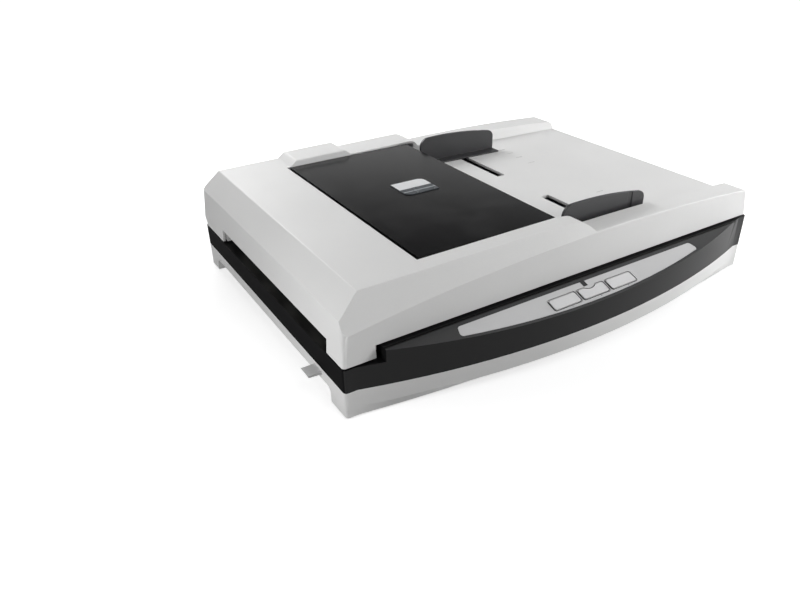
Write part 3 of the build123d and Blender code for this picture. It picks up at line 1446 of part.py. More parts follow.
with BuildPart() as exit_shaft:
    crosswise(exit_x, exit_z, feed_centre + feeder_belt_end - feeder_belt_width,
              feed_centre + side_outer + 2, shaft_radius)
    belt_pulley(exit_x, exit_z, feeder_belt_end - feeder_belt_width, feeder_belt_width, pulley_radius)
    for step in range(transport_rollers):
        roller_middle = feed_centre + (step - (transport_rollers - 1) / 2) * transport_roller_pitch
        crosswise(exit_x, exit_z, roller_middle - exit_roller_length / 2,
                  roller_middle + exit_roller_length / 2, exit_roller_radius)
save(exit_shaft, "exit_shaft")

with BuildPart() as feeder_belt:
    add(belt_loop((exit_x, exit_z), (transport_x, transport_z), feeder_belt_end - feeder_belt_width,
                  feeder_belt_width, pulley_radius, feeder_belt_thickness))
save(feeder_belt, "feeder_belt")

with BuildPart() as feed_idler_gear:
    add(feed_gear(idler_centre, feed_idler_teeth, idler_phase))
    crosswise(*idler_centre, front, rear, pin_radius + bore_gap, Mode.SUBTRACT)
save(feed_idler_gear, "feed_idler_gear")

with BuildPart() as feed_pinion:
    add(feed_gear((feed_motor_x, feed_motor_z), feed_pinion_teeth, pinion_phase))
    crosswise(feed_motor_x, feed_motor_z, front, rear, motor_shaft_radius + bore_gap, Mode.SUBTRACT)
save(feed_pinion, "feed_pinion")

with BuildPart() as feed_motor:
    plate_end = feed_centre + motor_plate_start + motor_plate_thickness
    with BuildSketch(section_plane(plate_end)):
        with Locations((feed_motor_x, feed_motor_z)):
            Circle(feed_motor_radius)
        with Locations(*motor_posts):
            Circle(motor_ear_radius)
    extrude(amount=motor_plate_thickness)
    crosswise(feed_motor_x, feed_motor_z, plate_end - motor_plate_thickness, plate_end + feed_motor_length,
              feed_motor_radius)
    crosswise(feed_motor_x, feed_motor_z, feed_centre + gear_start, plate_end, motor_shaft_radius)
save(feed_motor, "feed_motor")

# Pick arm: two links that swing on the feed shaft and carry the pick roller
arm_plane_ys = (feed_centre - arm_offset + arm_thickness / 2, feed_centre + arm_outer)
bridge_x = (feed_x + feed_roller_radius + pick_x - pick_radius) / 2
bridge_z = (feed_z + pick_z) / 2 + arm_bridge
with BuildPart() as pick_arm:
    for link_y in arm_plane_ys:
        with BuildSketch(section_plane(link_y)):
            with Locations((feed_x, feed_z)):
                Circle(arm_root_radius)
            with Locations((pick_x, pick_z)):
                Circle(arm_tip_radius)
            make_hull()
        extrude(amount=arm_thickness)
    block((bridge_x - arm_bridge / 2, feed_centre - arm_offset, bridge_z - arm_bridge),
          (bridge_x + arm_bridge / 2, feed_centre + arm_offset, bridge_z))
    crosswise(feed_x, feed_z, front, rear, shaft_radius + bore_gap, Mode.SUBTRACT)
    crosswise(pick_x, pick_z, front, rear, pick_shaft_radius + bore_gap, Mode.SUBTRACT)
save(pick_arm, "pick_arm")

with BuildPart() as pick_roller:
    crosswise(pick_x, pick_z, feed_centre - pick_roller_length / 2, feed_centre + pick_roller_length / 2,
              pick_radius)
    crosswise(pick_x, pick_z, feed_centre - arm_outer - 1, feed_centre + pick_belt_start,
              pick_shaft_radius)
    belt_pulley(pick_x, pick_z, pick_belt_start, pick_belt_width, pick_pulley_radius)
save(pick_roller, "pick_roller")

with BuildPart() as pick_belt:
    add(belt_loop((feed_x, feed_z), (pick_x, pick_z), pick_belt_start, pick_belt_width,
                  pick_pulley_radius, pick_belt_thickness))
save(pick_belt, "pick_belt")

# Sheet guides: each stands on the tray and reaches through its slot to a rack on the pinion
guide_end = guide_start + guide_length
rack_top = rack_bottom + rack_height
tooth_pitch = math.pi * guide_module


def guide_floor(x):
    """The height of a guide's underside at x."""
    return tray_height(x) + guide_lift


def blade_outline():
    """Draws a guide's side, arched along its top."""
    left_top = guide_floor(guide_start) + guide_height
    half_x = (guide_start + guide_end) / 2
    with BuildLine() as border:
        Polyline((guide_start, left_top), (guide_start, guide_floor(guide_start)),
                 (guide_end, guide_floor(guide_end)), (guide_end, left_top - guide_fall))
        ThreePointArc((guide_end, left_top - guide_fall), (half_x, left_top - guide_fall / 2 + guide_arch),
                      (guide_start, left_top))
    make_face(border.edges())
    tops = vertices().sort_by(Axis.Y)[-2:].sort_by(Axis.X)
    fillet(tops[0], guide_left_radius)
    tops = vertices().group_by(Axis.X)[-1].sort_by(Axis.Y)
    fillet(tops[-1], guide_right_radius)


def rack_points(side):
    """The plan of a rack, whose teeth face the pinion; side is -1 for the rack on its left."""
    pitch_x = guide_pinion_x + side * guide_module * guide_pinion_teeth / 2
    back_x = pitch_x + side * rack_width
    root_x = pitch_x + side * 1.15 * guide_module
    tip_x = pitch_x - side * 0.85 * guide_module
    start = (front_guide_y if side < 0 else rear_guide_y) - side * guide_slot_margin
    end = feed_centre - side * rack_overlap
    low, high = sorted((start, end))
    points = [(back_x, low), (root_x, low)]
    first = math.ceil((low + tooth_pitch - feed_centre) / tooth_pitch - 0.5)
    last = math.floor((high - tooth_pitch - feed_centre) / tooth_pitch - 0.5)
    for tooth in range(first, last + 1):
        tooth_y = feed_centre + (tooth + 0.5) * tooth_pitch
        for turn, depth_x in ((-0.29, root_x), (-0.12, tip_x), (0.12, tip_x), (0.29, root_x)):
            points.append((depth_x, tooth_y + turn * tooth_pitch))
    points += [(root_x, high), (back_x, high)]
    return points


def guide_form(inner_y, side):
    """A guide whose blade has its inner face at inner_y; side is 1 when the sheets lie behind it."""
    blade_rear = max(inner_y, inner_y - side * guide_thickness)
    outer_y = inner_y - side * guide_thickness
    flange_near, flange_far = sorted((inner_y - side * bore_gap, inner_y + side * guide_flange))
    foot_near, foot_far = sorted((inner_y + side * guide_slot_margin,
                                  inner_y + side * (guide_slot_margin + guide_foot_length)))
    groove_near, groove_far = sorted((outer_y - side, outer_y + side * guide_groove_depth))
    back_x = guide_pinion_x - side * (guide_module * guide_pinion_teeth / 2 + rack_width)
    with BuildPart() as guide:
        with BuildSketch(section_plane(blade_rear)):
            blade_outline()
        extrude(amount=guide_thickness)
        block((guide_groove_x - guide_groove / 2, groove_near, tray_floor_start + 2),
              (guide_groove_x + guide_groove / 2, groove_far, tray_floor_start + guide_height),
              Mode.SUBTRACT)
        with BuildSketch(section_plane(flange_far)):
            outline((guide_start, guide_floor(guide_start)), (guide_end, guide_floor(guide_end)),
                    (guide_end, guide_floor(guide_end) + guide_flange_thickness),
                    (guide_start, guide_floor(guide_start) + guide_flange_thickness))
        extrude(amount=flange_far - flange_near)
        block((guide_pinion_x - guide_foot_length / 2, foot_near, rack_bottom),
              (guide_pinion_x + guide_foot_length / 2, foot_far, guide_floor(guide_pinion_x) + 1))
        base_left, base_right = sorted((back_x, guide_pinion_x + side * guide_foot_length / 2))
        block((base_left, foot_near, rack_bottom), (base_right, foot_far, rack_top))
        with BuildSketch(Plane.XY.offset(rack_bottom)):
            outline(*rack_points(-side))
        extrude(amount=rack_height)
    return guide.part


with BuildPart() as front_guide:
    add(guide_form(front_guide_y, 1))
save(front_guide, "front_guide")

with BuildPart() as rear_guide:
    add(guide_form(rear_guide_y, -1))
save(rear_guide, "rear_guide")

with BuildPart() as guide_pinion:
    with BuildSketch(Plane.XY.offset(pinion_top - pinion_thickness)):
        gear_outline((guide_pinion_x, feed_centre), guide_pinion_teeth, guide_module, 0)
    extrude(amount=pinion_thickness)
    upright(guide_pinion_x, feed_centre, rack_bottom, boss_top - 1 - seat_gap, shaft_radius)
save(guide_pinion, "guide_pinion")
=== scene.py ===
"""Looks of a document scanner: finishes, softened mouldings and small fittings round its frame.

Metres, in the frame's own axes: X to the right along the casing, Y to the rear, Z up from the
table. A value in millimetres has mm in its name or in the text of its class.
"""

import logging
import math
from dataclasses import dataclass, field
from enum import Enum
from typing import Callable, Sequence

import bmesh
import bpy
from mathutils import Matrix, Vector


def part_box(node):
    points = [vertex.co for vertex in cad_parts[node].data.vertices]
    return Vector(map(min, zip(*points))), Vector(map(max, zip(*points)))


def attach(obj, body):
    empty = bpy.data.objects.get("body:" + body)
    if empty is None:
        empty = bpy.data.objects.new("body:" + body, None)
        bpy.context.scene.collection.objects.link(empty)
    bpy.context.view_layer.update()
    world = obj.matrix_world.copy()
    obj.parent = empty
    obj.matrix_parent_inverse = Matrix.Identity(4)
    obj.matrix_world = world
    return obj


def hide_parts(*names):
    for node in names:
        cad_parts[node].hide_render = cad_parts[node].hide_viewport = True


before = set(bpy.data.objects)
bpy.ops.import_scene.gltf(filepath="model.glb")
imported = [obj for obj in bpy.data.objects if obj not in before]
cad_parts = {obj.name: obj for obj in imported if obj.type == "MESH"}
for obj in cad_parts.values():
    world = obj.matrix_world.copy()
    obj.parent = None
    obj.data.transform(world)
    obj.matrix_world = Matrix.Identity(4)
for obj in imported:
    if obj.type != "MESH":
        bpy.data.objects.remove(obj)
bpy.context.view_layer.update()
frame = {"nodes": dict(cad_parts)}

MM = 0.001
WHITE = (1.0, 1.0, 1.0, 1.0)
Point = tuple[float, float, float]
Colour = tuple[float, float, float]
Piece = bpy.types.Object
Socket = bpy.types.NodeSocket
FaceTest = Callable[[Vector, Vector], bool]
EdgeTest = Callable[[Vector, Vector, float], bool]

logging.basicConfig(level=logging.INFO, format="%(name)s %(message)s")
log = logging.getLogger("scanner")


class Body(Enum):
    """Bodies of the frame that pieces ride on."""

    BASE = "base"
    LID = "lid"
    COVER = "cover"
    LEGS = "legs"
    FRONT_GUIDE = "front_sheet_guide"
    REAR_GUIDE = "rear_sheet_guide"
    LEFT_BUTTON = "left_button"
    MIDDLE_BUTTON = "middle_button"
    RIGHT_BUTTON = "right_button"
    ROCKER = "rocker"
    TRANSPORT_ROLLER = "transport_roller"
    FEED_ROLLER = "feed_roller"


class Effect(Enum):
    """Node groups that several finishes share."""

    TONE_DRIFT = "tone drift"
    SURFACE_GRAIN = "surface grain"
    HANDLING = "handling"


class Wiring:
    """Adds nodes to a tree from left to right and joins them."""

    def __init__(self, tree: bpy.types.NodeTree) -> None:
        """Starts on an emptied tree."""
        self.tree = tree
        self.tree.nodes.clear()

    def feed(self, node: bpy.types.Node, values: dict) -> None:
        """Gives a node's inputs a constant or another node's output each."""
        for key, value in values.items():
            if isinstance(value, Socket):
                self.tree.links.new(value, node.inputs[key])
            else:
                node.inputs[key].default_value = value

    def add(self, kind: str, values: dict | None = None, **settings: object) -> bpy.types.Node:
        """Adds one node.

        Args:
            kind: Blender's name of the node type.
            values: A constant or another node's output for each input.
            **settings: The node's own properties.

        Returns:
            The new node.
        """
        node = self.tree.nodes.new(kind)
        node.location = (190 * len(self.tree.nodes), 0)
        for key, value in settings.items():
            setattr(node, key, value)
        self.feed(node, values or {})
        return node

    def place(self) -> Socket:
        """Returns an output that carries the Object coordinates."""
        return self.add("ShaderNodeTexCoord").outputs["Object"]

    def noise(self, place: Socket, scale: object, detail: float, **more: float) -> Socket:
        """Adds a Noise Texture and returns its value."""
        values = {"Vector": place, "Scale": scale, "Detail": detail, **more}
        return self.add("ShaderNodeTexNoise", values).outputs[0]

    def cells(self, place: Socket, scale: object, **settings: str) -> Socket:
        """Adds a Voronoi Texture and returns the distance to its nearest point."""
        values = {"Vector": place, "Scale": scale}
        return self.add("ShaderNodeTexVoronoi", values, **settings).outputs["Distance"]

    def mix(self, factor: Socket, first: object, second: object) -> Socket:
        """Mixes two colours by a factor, the share of the second."""
        return self.add("ShaderNodeMix", {0: factor, 6: first, 7: second}, data_type="RGBA",
                        clamp_factor=True).outputs[2]

    def maths(self, operation: str, first: object, second: object) -> Socket:
        """Adds a Math node of that operation on two values and returns its output."""
        return self.add("ShaderNodeMath", {0: first, 1: second}, operation=operation).outputs[0]

    def spread(self, value: object, low: float, high: float, start: float, end: float) -> Socket:
        """Maps a value from the range low to high onto start to end, clamped."""
        values = {0: value, 1: low, 2: high, 3: start, 4: end}
        return self.add("ShaderNodeMapRange", values).outputs[0]

    def group(self, effect: Effect, **values: object) -> Socket:
        """Places a shared effect with its own values and returns its output."""
        return self.add("ShaderNodeGroup", values, node_tree=shelf.group(effect)).outputs[0]


def everywhere(centre: Vector, normal: Vector) -> bool:
    """Passes every face."""
    return True


def faces_up(centre: Vector, normal: Vector) -> bool:
    """Passes level faces that look up."""
    return normal.z > 0.9


def rgba(colour: Colour, tone: float = 1.0) -> tuple[float, float, float, float]:
    """Returns a colour times a tone, with full alpha."""
    return tuple(min(1.0, channel * tone) for channel in colour) + (1.0,)


@dataclass
class EffectShelf:
    """Builds each shared node group once and hands it out."""

    noise_band: tuple[float, float] = (0.3, 0.7)
    slow_share: float = 0.5
    fleck_scale: float = 900.0
    fleck_share: float = 0.16
    pit_share: float = 0.7
    rough_ratio: float = 2.3
    rough_share: float = 0.5
    smear_band: tuple[float, float] = (0.42, 0.72)
    dust_steepest: float = 0.95
    dust_least: float = 0.35
    built: dict[Effect, bpy.types.NodeTree] = field(default_factory=dict)

    def group(self, effect: Effect) -> bpy.types.NodeTree:
        """Returns the effect's node group.

        Args:
            effect: The effect, which is built on its first use.

        Returns:
            The group's tree.
        """
        if effect not in self.built:
            makers = {Effect.TONE_DRIFT: self._tone_drift, Effect.HANDLING: self._handling,
                      Effect.SURFACE_GRAIN: self._surface_grain}
            self.built[effect] = makers[effect](effect.value)
        return self.built[effect]

    @staticmethod
    def _open(name: str, inputs: dict[str, str], output: str,
              kind: str) -> tuple[Wiring, bpy.types.bpy_prop_collection, bpy.types.Node]:
        """Makes an empty group.

        Args:
            name: Name of the group.
            inputs: Socket type of each named input.
            output: Name of its output.
            kind: Socket type of its output.

        Returns:
            The wiring, the outputs of the group's input node and its output node.
        """
        tree = bpy.data.node_groups.new(name, "ShaderNodeTree")
        for title, socket in inputs.items():
            tree.interface.new_socket(title, in_out="INPUT", socket_type=f"NodeSocket{socket}")
        tree.interface.new_socket(output, in_out="OUTPUT", socket_type=f"NodeSocket{kind}")
        wiring = Wiring(tree)
        return wiring, wiring.add("NodeGroupInput").outputs, wiring.add("NodeGroupOutput")

    def _tone_drift(self, name: str) -> bpy.types.NodeTree:
        """Slow change of tone over a moulding, from uneven flow and light fading."""
        inputs = {"Colour": "Color", "Amount": "Float", "Scale": "Float"}
        wiring, given, out = self._open(name, inputs, "Colour", "Color")
        place = wiring.place()
        both = wiring.maths(
            "ADD",
            wiring.spread(wiring.noise(place, given["Scale"], 3.0), *self.noise_band,
                          -self.slow_share, self.slow_share),
            wiring.spread(wiring.noise(place, self.fleck_scale, 2.0), *self.noise_band,
                          -self.fleck_share, self.fleck_share))
        tone = wiring.maths("ADD", wiring.maths("MULTIPLY", both, given["Amount"]), 1.0)
        scaled = wiring.add("ShaderNodeVectorMath", {0: given["Colour"], "Scale": tone},
                            operation="SCALE")
        wiring.feed(out, {0: scaled.outputs[0]})
        return wiring.tree

    def _surface_grain(self, name: str) -> bpy.types.NodeTree:
        """Height of a spark-eroded mould's grain: rounded pits under a finer roughness."""
        wiring, given, out = self._open(name, {"Scale": "Float"}, "Height", "Float")
        place = wiring.place()
        pits = wiring.cells(place, given["Scale"], feature="SMOOTH_F1")
        fine = wiring.noise(place, wiring.maths("MULTIPLY", given["Scale"], self.rough_ratio), 2.0)
        height = wiring.maths("ADD", wiring.maths("MULTIPLY", pits, self.pit_share),
                              wiring.maths("MULTIPLY", fine, self.rough_share))
        wiring.feed(out, {0: height})
        return wiring.tree

    def _handling(self, name: str) -> bpy.types.NodeTree:
        """Mask of faint smears and settled dust, more on faces that look up."""
        wiring, given, out = self._open(name, {"Scale": "Float"}, "Mask", "Float")
        coords = wiring.add("ShaderNodeTexCoord").outputs
        cloud = wiring.noise(coords["Object"], given["Scale"], 5.0, Roughness=0.62, Distortion=0.6)
        upward = wiring.add("ShaderNodeSeparateXYZ", {0: coords["Normal"]}).outputs["Z"]
        mask = wiring.maths("MULTIPLY", wiring.spread(cloud, *self.smear_band, 0.0, 1.0),
                            wiring.spread(upward, 0.0, self.dust_steepest, self.dust_least, 1.0))
        wiring.feed(out, {0: mask})
        return wiring.tree


shelf = EffectShelf()


@dataclass(frozen=True)
class Finish:
    """A procedural surface with slow tone drift, grain and handling marks."""

    name: str
    colour: Colour
    roughness: float = 0.45
    metallic: float = 0.0
    drift: float = 0.05
    drift_scale: float = 9.0
    grain: float = 0.03
    grain_scale: float = 1500.0
    grain_depth: float = 0.0002
    smear: float = 0.06
    smear_scale: float = 22.0
    specular: float = 0.5
    coat: float = 0.0

    def base_colour(self, wiring: Wiring) -> Socket:
        """Returns the output that carries the colour, with its drift."""
        return wiring.group(Effect.TONE_DRIFT, Colour=rgba(self.colour), Amount=self.drift,
                            Scale=self.drift_scale)

    def height(self, wiring: Wiring) -> Socket:
        """Returns the output that carries the relief's height."""
        return wiring.group(Effect.SURFACE_GRAIN, Scale=self.grain_scale)

    def material(self) -> bpy.types.Material:
        """Builds the material on its first use.

        Returns:
            The material.
        """
        known = bpy.data.materials.get(self.name)
        if known:
            return known
        made = bpy.data.materials.new(self.name)
        made.use_nodes = True
        wiring = Wiring(made.node_tree)
        marks = wiring.group(Effect.HANDLING, Scale=self.smear_scale)
        rough = wiring.spread(marks, 0.0, 1.0, self.roughness,
                              min(1.0, self.roughness + self.smear))
        bump = wiring.add("ShaderNodeBump", {"Height": self.height(wiring), "Strength": self.grain,
                                             "Distance": self.grain_depth})
        shader = wiring.add("ShaderNodeBsdfPrincipled", {
            "Base Color": self.base_colour(wiring), "Metallic": self.metallic, "Roughness": rough,
            "Specular IOR Level": self.specular, "Coat Weight": self.coat,
            "Normal": bump.outputs[0]})
        self.settle(wiring, shader)
        wiring.add("ShaderNodeOutputMaterial", {"Surface": shader.outputs[0]})
        return made

    def settle(self, wiring: Wiring, shader: bpy.types.Node) -> None:
        """Leaves the shader as it is; finishes with more to say override this."""


@dataclass(frozen=True)
class BrushedMetal(Finish):
    """Metal with fine lines drawn along one axis."""

    metallic: float = 1.0
    roughness: float = 0.3
    grain: float = 0.12
    stretch: Point = (40.0, 1800.0, 1800.0)

    def height(self, wiring: Wiring) -> Socket:
        """Returns the height of the drawn lines."""
        drawn = wiring.add("ShaderNodeMapping", {"Vector": wiring.place(), "Scale": self.stretch})
        return wiring.noise(drawn.outputs[0], 1.0, 3.0)


@dataclass(frozen=True)
class ClearGlass(Finish):
    """Float glass with faint smears in its polish."""

    def settle(self, wiring: Wiring, shader: bpy.types.Node) -> None:
        """Makes the shader transmit."""
        shader.inputs["Transmission Weight"].default_value = 1.0
        shader.inputs["IOR"].default_value = 1.5


@dataclass(frozen=True)
class SolderResist(Finish):
    """Circuit board with tracks under a green lacquer."""

    track_scale: float = 260.0
    track_edge: tuple[float, float] = (0.42, 0.46)
    track_tone: float = 1.7
    pad_scale: float = 190.0
    pad_edge: tuple[float, float] = (0.13, 0.16)
    pad_colour: Colour = (0.72, 0.70, 0.62)

    def base_colour(self, wiring: Wiring) -> Socket:
        """Draws lighter tracks and bare pads on the lacquer.

        Args:
            wiring: The material's wiring.

        Returns:
            The output that carries the colour.
        """
        place = wiring.place()
        grid = wiring.cells(place, self.track_scale, feature="F1", distance="CHEBYCHEV")
        pads = wiring.cells(place, self.pad_scale, feature="F1")
        green = wiring.mix(wiring.spread(grid, *self.track_edge, 0.0, 1.0), rgba(self.colour),
                           rgba(self.colour, self.track_tone))
        return wiring.mix(wiring.spread(pads, *self.pad_edge, 1.0, 0.0), green,
                          rgba(self.pad_colour))


class Mould:
    """Edit-mode tools for meshes that keep their object at the origin."""

    @staticmethod
    def pick(piece: Piece) -> None:
        """Makes a piece the only selected and the active object."""
        bpy.ops.object.select_all(action="DESELECT")
        piece.select_set(True)
        bpy.context.view_layer.objects.active = piece

    @staticmethod
    def choose(piece: Piece, test: FaceTest) -> None:
        """Selects the faces whose centre and normal pass a test, and no other.

        Args:
            piece: The mesh object, in object mode.
            test: Takes a face's centre and normal and says whether it is chosen.
        """
        mesh = piece.data
        for group in (mesh.vertices, mesh.edges):
            for item in group:
                item.select = False
        for polygon in mesh.polygons:
            polygon.select = test(polygon.center, polygon.normal)

    @staticmethod
    def edit(piece: Piece, level: str, *steps: Callable[[], object]) -> None:
        """Runs operators in edit mode on what is selected.

        Args:
            piece: The mesh object.
            level: FACE or EDGE.
            *steps: The operators, in order.
        """
        Mould.pick(piece)
        bpy.ops.object.mode_set(mode="EDIT")
        bpy.ops.mesh.select_mode(type=level)
        for step in steps:
            step()
        bpy.ops.object.mode_set(mode="OBJECT")

    @staticmethod
    def shape(piece: Piece, test: FaceTest, *steps: Callable[[], object]) -> None:
        """Runs operators in edit mode on the faces whose centre and normal pass a test."""
        Mould.choose(piece, test)
        Mould.edit(piece, "FACE", *steps)

    @staticmethod
    def apply(piece: Piece, kind: str, **settings: object) -> None:
        """Adds a modifier and applies it.

        Args:
            piece: The mesh object.
            kind: Blender's name of the modifier type.
            **settings: The modifier's properties.
        """
        Mould.pick(piece)
        modifier = piece.modifiers.new(kind.lower(), kind)
        for key, value in settings.items():
            setattr(modifier, key, value)
        bpy.ops.object.modifier_apply(modifier=modifier.name)

    @staticmethod
    def soften(piece: Piece, width: float, segments: int = 2, angle: float = 30.0) -> None:
        """Rounds a piece's sharp edges and shades it smooth.

        Args:
            piece: The mesh object.
            width: Width of the rounding.
            segments: Faces across the rounding.
            angle: Edges sharper than this many degrees are rounded.
        """
        Mould.apply(piece, "BEVEL", width=width, segments=segments, limit_method="ANGLE",
                    angle_limit=math.radians(angle))
        Mould.smooth(piece)
        Mould.apply(piece, "WEIGHTED_NORMAL", keep_sharp=True, weight=80)

    @staticmethod
    def round_edges(piece: Piece, width: float, segments: int, test: EdgeTest) -> None:
        """Rounds the outer edges that pass a test.

        Args:
            piece: The mesh object.
            width: Width of the rounding.
            segments: Faces across the rounding.
            test: Takes an edge's two ends and the angle between its faces in degrees.
        """
        sketch = bmesh.new()
        sketch.from_mesh(piece.data)
        outer = [edge for edge in sketch.edges if len(edge.link_faces) == 2 and edge.is_convex]
        wanted = [edge.index for edge in outer
                  if test(edge.verts[0].co, edge.verts[1].co,
                          math.degrees(edge.calc_face_angle(0.0)))]
        sketch.free()
        Mould.choose(piece, lambda centre, normal: False)
        for index in wanted:
            piece.data.edges[index].select = True
        Mould.edit(piece, "EDGE", lambda: wanted and bpy.ops.mesh.bevel(
            offset=width, segments=segments, profile=0.5, clamp_overlap=True))
        log.info("rounded %d edges of %s", len(wanted), piece.name)

    @staticmethod
    def smooth(piece: Piece, angle: float = 32.0) -> None:
        """Shades a piece smooth, but for edges sharper than an angle in degrees."""
        Mould.pick(piece)
        bpy.ops.object.shade_smooth_by_angle(angle=math.radians(angle))

    @staticmethod
    def block(name: str, low: Sequence[float], high: Sequence[float]) -> Piece:
        """Adds a block between two corners.

        Args:
            name: The piece's name.
            low: Its lowest corner.
            high: Its highest corner.

        Returns:
            The block, with its place in its mesh.
        """
        bpy.ops.object.select_all(action="DESELECT")
        centre = [(a + b) / 2 for a, b in zip(low, high)]
        bpy.ops.mesh.primitive_cube_add(size=1.0, location=centre)
        return Mould.settle(name, Matrix.Diagonal([b - a for a, b in zip(low, high)] + [1.0]))

    @staticmethod
    def rod(name: str, sides: int, radius: float, length: float, middle: Sequence[float],
            turn: Point = (0.0, 0.0, 0.0)) -> Piece:
        """Adds a round or many-sided rod along Z.

        Args:
            name: The piece's name.
            sides: How many sides it has.
            radius: Its radius.
            length: Its length.
            middle: Where its middle lies.
            turn: Its turn about each axis in degrees.

        Returns:
            The rod, with its place in its mesh.
        """
        bpy.ops.object.select_all(action="DESELECT")
        bpy.ops.mesh.primitive_cylinder_add(
            vertices=sides, radius=radius, depth=length, location=middle,
            rotation=[math.radians(angle) for angle in turn])
        return Mould.settle(name)

    @staticmethod
    def settle(name: str, scale: Matrix | None = None) -> Piece:
        """Names the active object, scales it and moves its place into its mesh.

        Args:
            name: The piece's name.
            scale: A scale to apply about the object's own centre first.

        Returns:
            The active object, now at the origin.
        """
        piece = bpy.context.active_object
        piece.name = piece.data.name = name
        if scale is not None:
            piece.matrix_world = piece.matrix_world @ scale
        bpy.context.view_layer.update()
        bpy.ops.object.transform_apply(location=True, rotation=True, scale=True)
        return piece

    @staticmethod
    def move(piece: Piece, change: Matrix) -> None:
        """Moves, turns or scales a piece's mesh, its object staying at the origin."""
        piece.data.transform(change)
        piece.data.update()

    @staticmethod
    def copy_node(node: str, name: str, flat: float = 0.4) -> Piece:
        """Copies a CAD node's mesh into a merged piece of its own.

        Args:
            node: The node's name.
            name: The piece's name.
            flat: Faces that meet within this many degrees are joined.

        Returns:
            The piece, unparented at the origin, its flat faces whole.
        """
        source = frame["nodes"][node]
        piece = source.copy()
        piece.data = source.data.copy()
        piece.name = piece.data.name = name
        piece.parent = None
        piece.matrix_world = Matrix.Identity(4)
        bpy.context.scene.collection.objects.link(piece)
        piece.hide_render = piece.hide_viewport = False
        piece.hide_set(False)
        Mould.edit(piece, "FACE", lambda: bpy.ops.mesh.select_all(action="SELECT"),
                   lambda: bpy.ops.mesh.remove_doubles(threshold=1e-6),
                   lambda: bpy.ops.mesh.dissolve_limited(angle_limit=math.radians(flat)),
                   lambda: bpy.ops.mesh.select_all(action="DESELECT"))
        return piece

    @staticmethod
    def skin(node: str, name: str, height: Callable[[Vector], float],
             depth: float = 0.3 * MM) -> Piece:
        """Copies the part of a node's mesh that lies highest in some direction.

        Args:
            node: The node's name.
            name: The new piece's name.
            height: Gives a point's height.
            depth: Faces whose centre is within this of the greatest height are kept.

        Returns:
            The kept faces as one open piece.
        """
        piece = Mould.copy_node(node, name)
        top = max(height(vertex.co) for vertex in piece.data.vertices)
        Mould.shape(piece, lambda centre, normal: height(centre) < top - depth,
                    lambda: bpy.ops.mesh.delete(type="FACE"),
                    lambda: bpy.ops.mesh.select_all(action="SELECT"),
                    lambda: bpy.ops.mesh.dissolve_limited(angle_limit=math.radians(2.0)))
        return piece

    @staticmethod
    def join(name: str, parts: Sequence[Piece]) -> Piece:
        """Joins meshes into the first one.

        Args:
            name: The new name.
            parts: The meshes.

        Returns:
            The joined piece.
        """
        Mould.pick(parts[0])
        for part in parts:
            part.select_set(True)
        bpy.ops.object.join()
        return Mould.settle(name)

    @staticmethod
    def lettering(name: str, text: str, height: float, place: Matrix, depth: float) -> Piece:
        """Makes raised lettering as a mesh on a plane.

        Args:
            name: The piece's name.
            text: One generic character or word.
            height: Height of the letters.
            place: Where its middle lies; its Z points off the surface.
            depth: How far it stands up.

        Returns:
            The mesh, with its place in it.
        """
        size_per_height, weight_per_height = 1.35, 0.03
        bpy.ops.object.select_all(action="DESELECT")
        bpy.ops.object.text_add()
        words = bpy.context.active_object.data
        words.body = text
        words.size = height * size_per_height
        words.extrude = depth
        words.offset = height * weight_per_height
        words.resolution_u = 4
        words.align_x = words.align_y = "CENTER"
        bpy.ops.object.convert(target="MESH")
        bpy.context.active_object.matrix_world = place
        return Mould.settle(name)


def dress(piece: Piece, finish: Finish) -> None:
    """Gives a piece one finish in all its material slots.

    Args:
        piece: The mesh object.
        finish: Its surface.
    """
    made = finish.material()
    if not piece.data.materials:
        piece.data.materials.append(made)
    for index in range(len(piece.data.materials)):
        piece.data.materials[index] = made


def hand_over(piece: Piece, body: Body, slot: str, finish: Finish, *nodes: str) -> None:
    """Dresses a piece, lets it ride on a body and hides the CAD nodes it replaces.

    Args:
        piece: The finished mesh.
        body: The body it moves with.
        slot: Name of a material slot for the piece; not used.
        finish: Its surface.
        *nodes: CAD nodes that it replaces.
    """
    dress(piece, finish)
    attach(piece, body.value)
    if nodes:
        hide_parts(*nodes)
    log.info("piece %s: %d faces on %s", piece.name, len(piece.data.polygons), body.value)


def finish_nodes(plan: dict[str, Finish]) -> None:
    """Dresses CAD nodes whose shape is right, in place.

    Args:
        plan: The finish of each node.
    """
    for node, finish in plan.items():
        dress(frame["nodes"][node], finish)
        log.info("node %s takes %s", node, finish.name)


